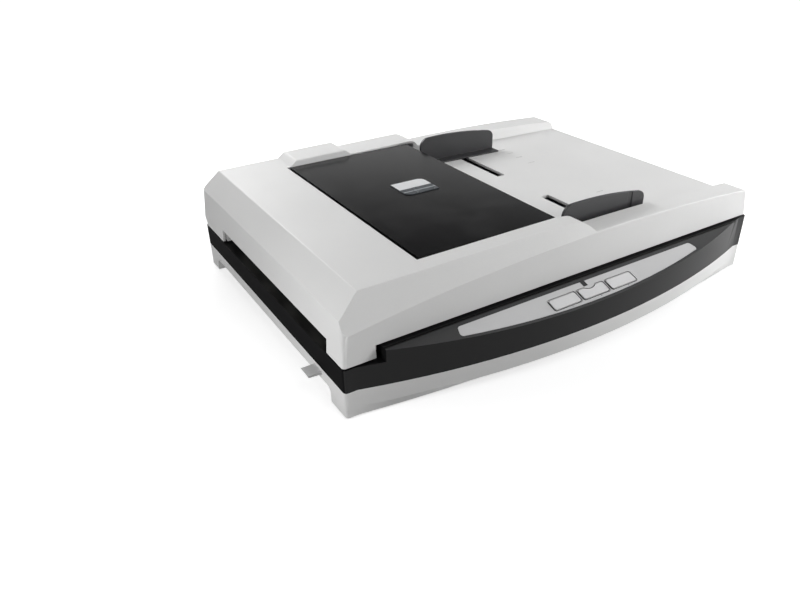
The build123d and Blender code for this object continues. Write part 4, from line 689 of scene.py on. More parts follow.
class Palette:
    """Every finish of the scanner."""

    casing = Finish("casing moulding", (0.78, 0.78, 0.775), 0.44, grain=0.05, specular=0.4)
    base = Finish("base moulding", (0.76, 0.76, 0.755), 0.42, grain=0.05)
    underside = Finish("underside moulding", (0.80, 0.80, 0.79), 0.5)
    frame = Finish("frame moulding", (0.007, 0.007, 0.0074), 0.28, drift=0.1, grain=0.04,
                   specular=0.16)
    # Lighter, glossier copy of the frame's moulding for the fascia's upward faces: painted light
    # from above. Its coarser grain is the moulding's own.
    fascia_lit_copy = Finish("fascia lit copy of frame moulding", (0.020, 0.020, 0.021), 0.42, drift=0.08, grain=0.08,
                    specular=0.45)
    # Copy of the frame's moulding that hardly reflects, for the faces that look left: painted
    # shade, so that side reads dark.
    frame_side_shaded = Finish("frame side shaded copy", (0.007, 0.007, 0.0074), 0.75, drift=0.1,
                        specular=0.02)
    cover = Finish("cover moulding", (0.005, 0.005, 0.0055), 0.19, drift=0.1, specular=0.35)
    guide = Finish("guide moulding", (0.030, 0.030, 0.032), 0.4, drift=0.1, grain=0.06)
    panel = Finish("panel coat", (0.56, 0.56, 0.565), 0.4, 0.15)
    button = Finish("button moulding", (0.72, 0.72, 0.725), 0.4)
    # Near-black for rings laid round the buttons and the indicator: painted shade of the gaps they
    # sit in.
    painted_gap_shade = Finish("painted gap shade", (0.012, 0.012, 0.014), 0.5)
    lens = Finish("indicator lens", (0.03, 0.045, 0.035), 0.15, coat=0.5)
    tab = Finish("tab moulding", (0.55, 0.55, 0.55))
    leg = Finish("hinge leg moulding", (0.10, 0.10, 0.105))
    hidden_black = Finish("inner black moulding", (0.022, 0.022, 0.022), 0.6, drift=0.1)
    bed = Finish("sheet bed moulding", (0.030, 0.030, 0.031), 0.42, drift=0.1)
    white_strip = Finish("white reference", (0.90, 0.90, 0.89), 0.6)
    acetal = Finish("natural acetal", (0.82, 0.80, 0.74), 0.4)
    rubber = Finish("soft rubber", (0.030, 0.030, 0.031), 0.78, drift=0.2, grain=0.2,
                    grain_scale=900.0)
    roller = Finish("roller rubber", (0.055, 0.056, 0.060), 0.7, grain=0.25, grain_scale=1100.0)
    foam = Finish("pad facing", (0.90, 0.90, 0.89), 0.85, grain=0.2, grain_scale=1300.0)
    steel = BrushedMetal("ground steel", (0.62, 0.62, 0.63), 0.22)
    zinc = BrushedMetal("zinc plate", (0.60, 0.60, 0.61), 0.38, stretch=(300.0, 300.0, 300.0))
    brass = BrushedMetal("turned brass", (0.72, 0.55, 0.25), stretch=(900.0, 900.0, 60.0))
    bronze = Finish("sintered bronze", (0.45, 0.30, 0.16), 0.5, 0.9, grain=0.2)
    glass = ClearGlass("float glass", (0.96, 0.985, 0.975), 0.0, drift=0.01, grain=0.0, smear=0.04)
    board = SolderResist("solder resist", (0.02, 0.13, 0.06), 0.35)
    lamp = Finish("lamp diffuser", (0.88, 0.90, 0.93), 0.3)
    gloss_black = Finish("gloss black", (0.012, 0.012, 0.013), 0.15, coat=0.3)
    badge = Finish("badge face", (0.78, 0.79, 0.80), 0.3, drift=0.02, grain=0.0, smear=0.02)
    badge_band = Finish("badge band", (0.09, 0.10, 0.11), 0.25, 0.3)
    badge_stripe = Finish("badge stripe", (0.40, 0.43, 0.45), 0.25, 0.3)
    legend = Finish("legend ink", (0.04, 0.04, 0.042), 0.5)
    print_grey = Finish("printed mark", (0.55, 0.55, 0.56), 0.55)
    mark_grey = Finish("tray mark", (0.50, 0.50, 0.50), 0.5)
    arm = Finish("pick arm moulding", (0.09, 0.09, 0.095), drift=0.1)


def seen_directly(wiring: Wiring) -> Socket:
    """Tells rays that see a surface from those that only light others.

    Args:
        wiring: The wiring of the floor or the world.

    Returns:
        An output that is 1 for camera, glossy and transmission rays and 0 for the others.
    """
    path = wiring.add("ShaderNodeLightPath").outputs
    looking = wiring.maths("MAXIMUM", path["Is Camera Ray"], path["Is Glossy Ray"])
    return wiring.maths("MAXIMUM", looking, path["Is Transmission Ray"])


@dataclass(frozen=True)
class Lamp:
    """Square soft lamp that looks at the object; glossy surfaces may show it."""

    name: str
    place: Point
    size: float
    power: float
    mirrored: bool = True

    def build(self, target: Point) -> None:
        """Hangs the lamp.

        Args:
            target: Where it looks.
        """
        away = Vector(self.place) - Vector(target)
        bpy.ops.object.light_add(type="AREA", location=self.place,
                                 rotation=away.to_track_quat("Z", "Y").to_euler())
        light = bpy.context.active_object
        light.name = self.name
        light.visible_glossy = self.mirrored
        light.data.shape = "SQUARE"
        light.data.size = self.size
        light.data.energy = self.power


@dataclass
class Studio:
    """Pale floor, soft lamps, white surroundings and the camera."""

    target: Point = (0.0, 0.0, 0.05)
    lamps: tuple[Lamp, ...] = (
        Lamp("right", (1.05, -0.6, 0.4), 0.9, 8.0),
        Lamp("right end", (0.55, -0.52, 0.3), 0.2, 1.7, False),
        Lamp("overhead", (1.2, 0.2, 1.9), 1.2, 8.0),
        Lamp("rear", (-0.16, 0.72, 0.6), 0.4, 4.8),
        Lamp("front", (0.0, -1.0, 1.6), 0.6, 3.6),
        Lamp("left", (-0.46, -0.165, 0.13), 0.06, 0.38, False),
    )
    eye: Point = (-0.3959, -0.52305, 0.3509)
    azimuth: float = -30.55
    elevation: float = 30.51
    roll: float = 1.6
    lens: float = 31.75
    sensor: float = 36.0
    floor_size: float = 8.0
    floor_drop: float = 0.0002
    cloud_scale: float = 3.0
    paper: tuple[Colour, Colour] = ((0.54, 0.54, 0.542), (0.56, 0.56, 0.561))
    paper_as_light: Colour = (0.40, 0.40, 0.40)
    paper_roughness: float = 0.6
    floor_lift: float = 0.68
    footprint: float = 0.75
    fade: tuple[float, float] = (0.2, 0.42)
    air: float = 0.12
    backdrop_top: tuple[float, float] = (0.26, 0.38)
    ceiling: float = 0.02

    def build(self) -> None:
        """Sets up everything around the object."""
        bpy.context.scene.view_settings.view_transform = "Standard"
        self.floor()
        self.surroundings()
        for lamp in self.lamps:
            lamp.build(self.target)
        self.camera()

    def floor(self) -> None:
        """Adds the pale floor, which keeps the object's shadow and is white away from it."""
        bpy.ops.object.select_all(action="DESELECT")
        bpy.ops.mesh.primitive_plane_add(size=self.floor_size,
                                         location=(0.0, 0.0, -self.floor_drop))
        ground = Mould.settle("studio_floor")
        made = bpy.data.materials.new("floor paper")
        made.use_nodes = True
        wiring = Wiring(made.node_tree)
        place = wiring.place()
        tone = wiring.mix(wiring.noise(place, self.cloud_scale, 3.0),
                          *(rgba(colour) for colour in self.paper))
        paper = wiring.add("ShaderNodeBsdfDiffuse", {"Color": tone,
                                                     "Roughness": self.paper_roughness})
        away = wiring.add("ShaderNodeMapping", {"Vector": place,
                                                "Scale": (self.footprint, 1.0, 1.0)}).outputs[0]
        reach = wiring.add("ShaderNodeVectorMath", {0: away}, operation="LENGTH").outputs["Value"]
        lift = wiring.add("ShaderNodeEmission", {
            "Color": WHITE, "Strength": wiring.spread(reach, *self.fade, self.floor_lift, 1.0)})
        lifted = wiring.add("ShaderNodeAddShader", {0: paper.outputs[0], 1: lift.outputs[0]})
        plain = wiring.add("ShaderNodeBsdfDiffuse", {"Color": rgba(self.paper_as_light),
                                                     "Roughness": self.paper_roughness})
        shader = wiring.add("ShaderNodeMixShader", {0: seen_directly(wiring), 1: plain.outputs[0],
                                                    2: lifted.outputs[0]})
        wiring.add("ShaderNodeOutputMaterial", {"Surface": shader.outputs[0]})
        ground.data.materials.append(made)

    def surroundings(self) -> None:
        """Makes the air white to the camera and near the horizon in reflections, dimmer above."""
        world = bpy.data.worlds.new("studio air")
        world.use_nodes = True
        bpy.context.scene.world = world
        wiring = Wiring(world.node_tree)
        away = wiring.add("ShaderNodeTexCoord").outputs["Generated"]
        height = wiring.add("ShaderNodeSeparateXYZ", {0: away}).outputs["Z"]
        backdrop = wiring.spread(height, *self.backdrop_top, 1.0, self.ceiling)
        strength = wiring.add("ShaderNodeMix", {0: seen_directly(wiring), 2: self.air,
                                                3: backdrop}, data_type="FLOAT").outputs[0]
        sky = wiring.add("ShaderNodeBackground", {"Color": WHITE, "Strength": strength})
        wiring.add("ShaderNodeOutputWorld", {"Surface": sky.outputs[0]})

    def camera(self) -> None:
        """Adds the camera at the photograph's angle."""
        turn, lift, tilt = (math.radians(a) for a in (self.azimuth, self.elevation, self.roll))
        back = Vector((math.sin(turn) * math.cos(lift), -math.cos(turn) * math.cos(lift),
                       math.sin(lift)))
        right = Vector((math.cos(turn), math.sin(turn), 0.0))
        up = back.cross(right)
        across = math.cos(tilt) * right - math.sin(tilt) * up
        upward = math.sin(tilt) * right + math.cos(tilt) * up
        facing = Matrix((across, upward, back)).transposed()
        bpy.ops.object.camera_add(location=self.eye, rotation=facing.to_euler())
        camera = bpy.context.active_object
        camera.data.lens = self.lens
        camera.data.sensor_width = self.sensor
        bpy.context.scene.camera = camera


@dataclass(frozen=True)
class Moulding:
    """A moulding that shows: the copy of a CAD node with softened edges."""

    node: str
    body: Body
    slot: str
    finish: Finish
    edge: float
    flat: float = 0.4

    def copy(self) -> Piece:
        """Returns the node's merged copy, not yet softened."""
        return Mould.copy_node(self.node, f"{self.node}_shell", self.flat)

    def close(self, piece: Piece) -> None:
        """Softens, dresses and hands over the reworked copy."""
        Mould.soften(piece, self.edge)
        hand_over(piece, self.body, self.slot, self.finish, self.node)

    def build(self) -> None:
        """Copies the node and closes the copy as it is."""
        self.close(self.copy())


@dataclass
class ScrewSet:
    """Pan-head screws with a cross recess, one modelled and the rest copied from it."""

    node: str
    name: str
    body: Body
    spots: Sequence[tuple[float, float, float, float]]
    head_radius: float = 2.8 * MM
    head_height: float = 1.9 * MM
    head_round: float = 0.35 * MM
    head_sides: int = 28
    shank_radius: float = 1.25 * MM
    stub: float = 4.0 * MM
    recess_length: float = 2.9 * MM
    recess_width: float = 0.75 * MM
    recess_depth: float = 1.1 * MM

    def one(self) -> Piece:
        """Makes one screw at the origin, head down, with a short shank upwards.

        Returns:
            The screw.
        """
        head = Mould.rod(f"{self.name}_head", self.head_sides, self.head_radius, self.head_height,
                         (0.0, 0.0, self.head_height / 2))
        shoulder = self.head_radius - self.shank_radius
        Mould.shape(head, faces_up, lambda: bpy.ops.mesh.inset(thickness=shoulder),
                    lambda: bpy.ops.mesh.extrude_region_move(
                        TRANSFORM_OT_translate={"value": (0.0, 0.0, self.stub)}))
        x, y = self.recess_length / 2, self.recess_width / 2
        for length, width in ((x, y), (y, x)):
            cutter = Mould.block("cutter", (-length, -width, -1.0 * MM),
                                 (length, width, self.recess_depth))
            Mould.apply(head, "BOOLEAN", operation="DIFFERENCE", object=cutter, solver="EXACT")
            bpy.data.objects.remove(cutter, do_unlink=True)
        Mould.apply(head, "BEVEL", width=self.head_round, segments=2, limit_method="ANGLE",
                    angle_limit=math.radians(50.0))
        Mould.smooth(head)
        return head

    def build(self) -> None:
        """Places every screw, its shank stretched to its spot, and hands the set over."""
        first = self.one()
        copies = []
        for x, y, low, high in self.spots:
            screw = first.copy()
            screw.data = first.data.copy()
            bpy.context.scene.collection.objects.link(screw)
            for vertex in screw.data.vertices:
                if vertex.co.z > self.head_height + self.stub / 2:
                    vertex.co.z = (high - low) * MM
            Mould.move(screw, Matrix.Translation((x * MM, y * MM, low * MM)))
            copies.append(screw)
        bpy.data.objects.remove(first, do_unlink=True)
        hand_over(Mould.join(self.name, copies), self.body, "screw_steel", Palette.zinc, self.node)


@dataclass
class BaseCasing:
    """Lower casing, its side tab, hinge sockets and legs, feet and screws."""

    edge: float = 0.8 * MM
    fine_edge: float = 0.3 * MM
    casing_screws_mm: tuple[tuple[float, ...], ...] = ((-177.5, 6.0, 221.0), (-130.75, 162.25))
    casing_screw_span_mm: tuple[float, float] = (2.2, 33.5)
    board_screws_mm: tuple[tuple[float, ...], ...] = ((148.5, 208.5), (80.35, 151.35))
    board_screw_span_mm: tuple[float, float] = (10.0, 13.2)
    foot_ring: float = 1.4 * MM
    foot_slope: float = 0.5 * MM
    foot_edge: float = 0.25 * MM

    def build(self) -> None:
        """Builds every piece of the base."""
        for node, body, slot, finish, edge in (
                ("base_tray", Body.BASE, "base_white", Palette.base, self.edge),
                ("exit_tab", Body.BASE, "tab_grey", Palette.tab, self.fine_edge),
                ("hinge_sockets", Body.BASE, "socket_white", Palette.base, self.fine_edge),
                ("hinge_legs", Body.LEGS, "leg_grey", Palette.leg, self.fine_edge)):
            Moulding(node, body, slot, finish, edge).build()
        spots = [(x, y, *span) for (xs, ys), span in (
            (self.casing_screws_mm, self.casing_screw_span_mm),
            (self.board_screws_mm, self.board_screw_span_mm)) for x in xs for y in ys]
        ScrewSet("base_screws", "base_screw_set", Body.BASE, spots).build()
        finish_nodes({"hinge_leaves": Palette.zinc})
        self.feet()

    def feet(self) -> None:
        """Gives each rubber foot a moulded ring and a dished sole."""
        piece = Mould.copy_node("feet", "rubber_feet")
        Mould.shape(piece, lambda centre, normal: normal.z < -0.9 and centre.z < 0.2 * MM,
                    lambda: bpy.ops.mesh.inset(thickness=self.foot_ring, depth=0.0,
                                               use_individual=True),
                    lambda: bpy.ops.mesh.inset(thickness=self.foot_slope, depth=-self.foot_slope,
                                               use_individual=True))
        Mould.soften(piece, self.foot_edge)
        hand_over(piece, Body.BASE, "foot_rubber", Palette.rubber, "feet")


@dataclass
class FasciaPlane:
    """The sloping plane that carries the panel, its prints and its buttons."""

    origin: Point = (6.0 * MM, -148.25 * MM, 57.0 * MM)
    slope: float = 0.34

    def tilt(self) -> Matrix:
        """Returns the turn from level to the plane."""
        return Matrix.Rotation(math.atan(self.slope), 4, "X")

    def place(self, across: float, up: float, lift: float = 0.0) -> Matrix:
        """Gives the place of a point on the plane.

        Args:
            across: Distance to the right of the middle.
            up: Distance up the slope.
            lift: Height off the plane.

        Returns:
            The place, its Z off the plane.
        """
        return (Matrix.Translation(self.origin) @ self.tilt()
                @ Matrix.Translation((across, up, lift)))

    def height(self, point: Vector) -> float:
        """Returns a point's height off the plane."""
        return (self.place(0.0, 0.0).inverted() @ point).z

    def top(self, node: str) -> float:
        """Returns the greatest height of a node off the plane."""
        return max(self.height(vertex.co) for vertex in frame["nodes"][node].data.vertices)


@dataclass
class FrontBand:
    """Charcoal frame with its bowed band, the panel, three buttons and the indicator."""

    edge: float = 0.5 * MM
    panel_edge: float = 0.3 * MM
    button_edge: float = 0.35 * MM
    button_length: float = 28.0 * MM
    button_depth: float = 10.2 * MM
    button_pitch: float = 32.0 * MM
    button_up: float = -15.9 * MM
    shade_ring_gap: float = 0.25 * MM
    shade_ring_width: float = 0.8 * MM
    ink_thickness: float = 0.08 * MM
    ink_lift: float = 0.03 * MM
    letter_lift: float = 0.02 * MM
    letter_depth: float = 0.03 * MM
    legend_right: float = 3.0 * MM
    legend_drop: float = 6.9 * MM
    legend_height: float = 1.6 * MM
    rim_size: tuple[float, float] = (2.0, 1.15)
    lens_edge: float = 0.3 * MM
    fascia_rear: float = -143.5 * MM
    plane: FasciaPlane = field(default_factory=FasciaPlane)

    def build(self) -> None:
        """Builds the frame, panel, buttons and prints."""
        Moulding("upper_frame", Body.BASE, "frame_black", Palette.frame, self.edge).build()
        Moulding("control_panel", Body.BASE, "panel_grey", Palette.panel, self.panel_edge).build()
        buttons = {"left": Body.LEFT_BUTTON, "middle": Body.MIDDLE_BUTTON,
                   "right": Body.RIGHT_BUTTON}
        for side, body in buttons.items():
            Moulding(f"button_{side}", body, "button_grey", Palette.button,
                     self.button_edge).build()
        # The fascia's faces that look up and forward get the lighter copy of the frame's moulding:
        # painted light.
        self.grain(Palette.fascia_lit_copy, lambda centre, normal: (
            centre.y < self.fascia_rear and normal.z > 0.6 and normal.y < -0.15))
        # The faces that look left get the copy without reflection: painted shade on that side.
        self.grain(Palette.frame_side_shaded, lambda centre, normal: normal.x < -0.8)
        finish_nodes({"button_board": Palette.board})
        surface = self.plane.top("control_panel")
        for index, side in enumerate(buttons):
            across = (index - 1) * self.button_pitch
            # Each button gets a dark ring on the panel round it: painted gap shade.
            self.painted_gap_shade(side, across, surface)
            self.legend(str(index + 1), side, across, surface)
        self.indicator(surface)

    def grain(self, finish: Finish, test: FaceTest) -> None:
        """Gives some of the frame's faces a finish of their own; it paints light on the fascia and
        shade on the left side with copies of the frame's moulding.

        Args:
            finish: The faces' surface.
            test: Takes a face's centre and normal and says whether it is one of them.
        """
        mesh = bpy.data.objects["upper_frame_shell"].data
        mesh.materials.append(finish.material())
        for polygon in mesh.polygons:
            if test(polygon.center, polygon.normal):
                polygon.material_index = len(mesh.materials) - 1

    def painted_gap_shade(self, side: str, across: float, surface: float) -> None:
        """Adds a dark ring round a button: painted shade of the gap between the button and the
        panel.

        Args:
            side: Which button.
            across: The button's place across the panel.
            surface: The panel's height off the plane.
        """
        piece = Mould.skin(f"button_{side}", f"{side}_button_gap_shade", self.plane.height)
        reach = 2 * (self.shade_ring_gap + self.shade_ring_width)
        centre = self.plane.place(across, self.button_up)
        drop = surface + self.ink_lift - self.plane.top(f"button_{side}")
        grow = Matrix.Diagonal(((self.button_length + reach) / self.button_length,
                                (self.button_depth + reach) / self.button_depth, 1.0, 1.0))
        Mould.move(piece, centre @ Matrix.Translation((0.0, 0.0, drop)) @ grow @ centre.inverted())
        Mould.shape(piece, everywhere, lambda: bpy.ops.mesh.inset(thickness=self.shade_ring_width,
                                                                  use_boundary=True),
                    lambda: bpy.ops.mesh.delete(type="FACE"))
        Mould.apply(piece, "SOLIDIFY", thickness=self.ink_thickness, offset=1.0)
        hand_over(piece, Body.BASE, "frame_black", Palette.painted_gap_shade)

    def legend(self, text: str, side: str, across: float, surface: float) -> None:
        """Adds the plain number in front of a button.

        Args:
            text: The number.
            side: Which button.
            across: The button's place across the panel.
            surface: The panel's height off the plane.
        """
        place = self.plane.place(across + self.legend_right, self.button_up - self.legend_drop,
                                 surface + self.letter_lift)
        piece = Mould.lettering(f"{side}_button_number", text, self.legend_height, place,
                                self.letter_depth)
        hand_over(piece, Body.BASE, "frame_black", Palette.legend)

    def indicator(self, surface: float) -> None:
        """Gives the indicator's lens a crowned top in a dark rim, the painted shade of the slot
        round it.

        Args:
            surface: The panel's height off the plane.
        """
        # The dark rim round the lens is painted shade of its slot.
        rim = Mould.skin("status_light", "indicator_rim", self.plane.height)
        low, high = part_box("status_light")
        centre = Matrix.Translation([(a + b) / 2 for a, b in zip(low, high)])
        tilt = self.plane.tilt()
        drop = surface + self.ink_lift - self.plane.top("status_light")
        grow = Matrix.Translation((0.0, 0.0, drop)) @ Matrix.Diagonal((*self.rim_size, 1.0, 1.0))
        Mould.move(rim, centre @ tilt @ grow @ tilt.inverted() @ centre.inverted())
        Mould.apply(rim, "SOLIDIFY", thickness=self.ink_thickness, offset=1.0)
        hand_over(rim, Body.BASE, "frame_black", Palette.painted_gap_shade)
        piece = Mould.copy_node("status_light", "indicator_lens")
        Mould.soften(piece, self.lens_edge, 3)
        hand_over(piece, Body.BASE, "light_lens", Palette.lens, "status_light")


@dataclass
class Platen:
    """Glass, its reference strip and the printed scales on the deck round it, in millimetres."""

    deck: float = 46.2
    left: float = -163.5
    front: float = -113.25
    length: float = 300.0
    depth: float = 210.0
    glass_length: float = 306.0
    step: float = 10.0
    long_every: int = 5
    start_gap: float = 3.2
    short: float = 2.2
    long: float = 4.2
    stroke: float = 0.35
    ink: float = 0.05
    ink_edge: float = 0.015
    arrow_gap: tuple[float, float] = (4.6, 5.2)
    arrow_radius: float = 3.2
    arrow_rim: tuple[float, float] = (0.5, -0.02)

    def build(self) -> None:
        """Dresses the glass and prints both scales and the corner mark."""
        finish_nodes({"platen_glass": Palette.glass, "feed_glass": Palette.glass,
                      "calibration_strip": Palette.white_strip})
        hand_over(Mould.join("platen_scale", self.ticks()), Body.BASE, "frame_black",
                  Palette.print_grey)
        self.corner()

    def reaches(self, length: float) -> list[float]:
        """Returns the length of each bar of a scale, every fifth longer."""
        return [self.short if count % self.long_every else self.long
                for count in range(int(length / self.step) + 1)]

    def ticks(self) -> list[Piece]:
        """Makes the front and right scales.

        Returns:
            Their bars.
        """
        y = self.front - self.start_gap
        bars = [self.bar(self.left + count * self.step, y - reach, self.stroke, reach)
                for count, reach in enumerate(self.reaches(self.length))]
        x = self.left + self.glass_length + self.start_gap
        return bars + [self.bar(x, self.front + count * self.step, reach, self.stroke)
                       for count, reach in enumerate(self.reaches(self.depth))]

    def bar(self, x: float, y: float, across: float, along: float) -> Piece:
        """Adds one printed bar.

        Args:
            x: Its left side.
            y: Its front.
            across: Its size along X.
            along: Its size along Y.

        Returns:
            The bar.
        """
        piece = Mould.block("bar", (x * MM, y * MM, self.deck * MM),
                            ((x + across) * MM, (y + along) * MM, (self.deck + self.ink) * MM))
        Mould.apply(piece, "BEVEL", width=self.ink_edge * MM, segments=1)
        return piece

    def corner(self) -> None:
        """Adds the arrow that points at the corner where originals start."""
        middle = ((self.left - self.arrow_gap[0]) * MM, (self.front - self.arrow_gap[1]) * MM,
                  self.deck * MM)
        piece = Mould.rod("corner_arrow", 3, self.arrow_radius * MM, 2 * self.ink * MM, middle,
                          (0.0, 0.0, -45.0))
        rim, sink = (value * MM for value in self.arrow_rim)
        Mould.shape(piece, faces_up, lambda: bpy.ops.mesh.inset(thickness=rim, depth=sink))
        hand_over(piece, Body.BASE, "frame_black", Palette.print_grey)


@dataclass
class Lid:
    """Lid casing with its soft end chamfer, underside, pad, screws and the tray's width marks."""

    edge: float = 0.9 * MM
    flat: float = 0.05
    fine_edge: float = 0.3 * MM
    end_round: float = 9.0 * MM
    end_x: float = -217.0 * MM
    end_z: float = 80.0 * MM
    end_run: float = 100.0 * MM
    end_angle: float = 20.0
    top_round: float = 2.6 * MM
    top_z: tuple[float, float] = (100.5 * MM, 101.5 * MM)
    top_x: float = -199.0 * MM
    top_y: float = -129.0 * MM
    top_run: float = 50.0 * MM
    top_angle: tuple[float, float] = (20.0, 70.0)
    hump_round: float = 1.8 * MM
    hump_z: float = 104.0 * MM
    hump_angle: float = 25.0
    crease_width: float = 0.8 * MM
    crease_y: float = -139.9 * MM
    crease_z: float = 70.0 * MM
    crease_run: float = 6.0 * MM
    crease_angle: tuple[float, float] = (15.0, 40.0)
    shelf: float = 1.5 * MM
    shelf_start: float = -190.0 * MM
    shelf_end: float = 60.0 * MM
    shelf_slack: float = 0.25 * MM
    pad_rim: float = 1.2 * MM
    pad_edge: float = 0.4 * MM
    screws_mm: tuple[tuple[float, float], ...] = (
        (213.5, 147.75), (133.5, 147.75), (-6.5, 147.75), (-191.5, 147.75),
        (213.5, -126.25), (133.5, -126.25), (-6.5, -126.25), (-111.5, -126.25))
    screw_span_mm: tuple[float, float] = (46.8, 57.6)
    tray_x_mm: float = 114.6
    tray_floor_mm: float = 82.0
    tray_start_mm: float = 10.5
    tray_fall: float = 0.03
    half_widths_mm: tuple[float, ...] = (52.5, 74.0, 90.0, 105.0)
    feed_middle_mm: float = -0.25
    mark_length_mm: float = 9.0
    mark_half_mm: float = 0.3
    mark_span_mm: tuple[float, float] = (-0.6, 0.1)
    mark_edge: float = 0.08 * MM

    def build(self) -> None:
        """Builds the lid's pieces."""
        self.casing()
        Moulding("lid_underside", Body.LID, "underside_white", Palette.underside,
                 self.fine_edge).build()
        self.pad()
        spots = [(x, y, *self.screw_span_mm) for x, y in self.screws_mm]
        ScrewSet("lid_screws", "lid_screw_set", Body.LID, spots).build()
        self.width_marks()

    def casing(self) -> None:
        """Rounds the casing's end chamfer and top edges more than its other edges."""
        part = Moulding("lid_casing", Body.LID, "casing_white", Palette.casing, self.edge,
                        self.flat)
        piece = part.copy()
        Mould.round_edges(piece, self.end_round, 6, lambda first, second, angle: (
            max(first.x, second.x) < self.end_x and min(first.z, second.z) > self.end_z
            and abs(first.y - second.y) > self.end_run and angle > self.end_angle))
        Mould.round_edges(piece, self.top_round, 4, self.on_top_line)
        Mould.round_edges(piece, self.hump_round, 4, lambda first, second, angle: (
            min(first.z, second.z) > self.hump_z and angle > self.hump_angle))
        self.crease(piece)
        part.close(piece)

    def on_top_line(self, first: Vector, second: Vector, angle: float) -> bool:
        """Says whether an edge bounds the feeder's top at its left or front.

        Args:
            first: One end.
            second: The other end.
            angle: The angle between the edge's faces in degrees.

        Returns:
            Whether it does.
        """
        level = (min(first.z, second.z) > self.top_z[0] and max(first.z, second.z) < self.top_z[1])
        outer = max(first.x, second.x) < self.top_x or max(first.y, second.y) < self.top_y
        return (level and outer and self.top_angle[0] < angle < self.top_angle[1]
                and (first - second).length > self.top_run)

    def crease(self, piece: Piece) -> None:
        """Turns the curved crease along the front into a narrow shelf, widest at its left end.

        Args:
            piece: The casing's copy.
        """
        Mould.round_edges(piece, self.crease_width, 1, lambda first, second, angle: (
            max(first.y, second.y) < self.crease_y and min(first.z, second.z) > self.crease_z
            and self.crease_angle[0] < angle < self.crease_angle[1]
            and abs(first.x - second.x) > self.crease_run))
        points = piece.data.vertices
        lower = set()
        for polygon in piece.data.polygons:
            if polygon.select:
                front = min(points[index].co.y for index in polygon.vertices)
                lower.update(index for index in polygon.vertices
                             if points[index].co.y < front + self.shelf_slack)
        for index in lower:
            place = points[index].co
            share = (self.shelf_end - place.x) / (self.shelf_end - self.shelf_start)
            place.y -= self.shelf * min(1.0, max(0.0, share))
        log.info("crease shelf moves %d points", len(lower))

    def pad(self) -> Piece:
        """Makes the foam pad from a block with a pressed rim.

        Returns:
            The pad.
        """
        piece = Mould.block("lid_pad", *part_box("platen_pad"))
        Mould.shape(piece, lambda centre, normal: normal.z < -0.5,
                    lambda: bpy.ops.mesh.inset(thickness=self.pad_rim, depth=0.0))
        Mould.soften(piece, self.pad_edge, 3)
        hand_over(piece, Body.LID, "pad_white", Palette.foam, "platen_pad")
        return piece

    def width_marks(self) -> None:
        """Adds raised marks for sheet widths beside the guides' slots."""
        floor = self.tray_floor_mm - self.tray_fall * (self.tray_x_mm - self.tray_start_mm)
        low, high = (floor + rise for rise in self.mark_span_mm)
        marks = []
        for half in self.half_widths_mm:
            for side in (-1.0, 1.0):
                y = self.feed_middle_mm + side * half
                piece = Mould.block(
                    "mark", (self.tray_x_mm * MM, (y - self.mark_half_mm) * MM, low * MM),
                    ((self.tray_x_mm + self.mark_length_mm) * MM, (y + self.mark_half_mm) * MM,
                     high * MM))
                Mould.apply(piece, "BEVEL", width=self.mark_edge, segments=2)
                marks.append(piece)
        hand_over(Mould.join("tray_width_marks", marks), Body.LID, "casing_white",
                  Palette.mark_grey)


@dataclass
class Guides:
    """Two sheet guides and the pinion that couples them."""

    edge: float = 0.55 * MM

    def build(self) -> None:
        """Builds both guides."""
        for node, body in (("front_guide", Body.FRONT_GUIDE), ("rear_guide", Body.REAR_GUIDE)):
            Moulding(node, body, "guide_grey", Palette.guide, self.edge).build()
        finish_nodes({"guide_pinion": Palette.acetal})


@dataclass
class Badge:
    """Blank two-tone badge on the cover: pale field, dark band, thin stripe."""

    edge: float = 0.15 * MM
    fall: float = 0.0103
    skin: float = 0.15 * MM
    split: float = 15.6 * MM
    stripe_middle: float = 8.6 * MM
    stripe_half: float = 1.25 * MM
    margin: float = 0.35 * MM
    lift: float = 0.14 * MM
    layer_edge: float = 0.04 * MM

    def build(self) -> None:
        """Builds the badge's plate, field and stripe."""
        Moulding("badge_plate", Body.COVER, "badge_grey", Palette.badge_band, self.edge).build()
        self.layer("badge_field", Palette.badge, (self.split, -1.0))
        self.layer("badge_stripe", Palette.badge_stripe,
                   (self.stripe_middle - self.stripe_half, -1.0),
                   (self.stripe_middle + self.stripe_half, 1.0))

    def layer(self, name: str, finish: Finish, *cuts: tuple[float, float]) -> None:
        """Lays a thin layer on part of the plate's top face.

        Args:
            name: The piece's name.
            finish: Its surface.
            *cuts: Where it is cut across along Y, and the side along Y that is dropped.
        """
        piece = Mould.skin("badge_plate", name, lambda point: point.z + self.fall * point.x,
                           self.skin)
        for y, side in cuts:
            Mould.shape(piece, everywhere, lambda: bpy.ops.mesh.bisect(
                plane_co=(0.0, y, 0.0), plane_no=(0.0, side, 0.0), clear_outer=True,
                use_fill=False))
        Mould.shape(piece, everywhere,
                    lambda: bpy.ops.mesh.inset(thickness=self.margin, use_boundary=True),
                    lambda: bpy.ops.mesh.select_all(action="INVERT"),
                    lambda: bpy.ops.mesh.delete(type="FACE"))
        Mould.apply(piece, "SOLIDIFY", thickness=self.lift, offset=1.0)
        Mould.soften(piece, self.layer_edge, 1)
        hand_over(piece, Body.COVER, "badge_grey", finish)


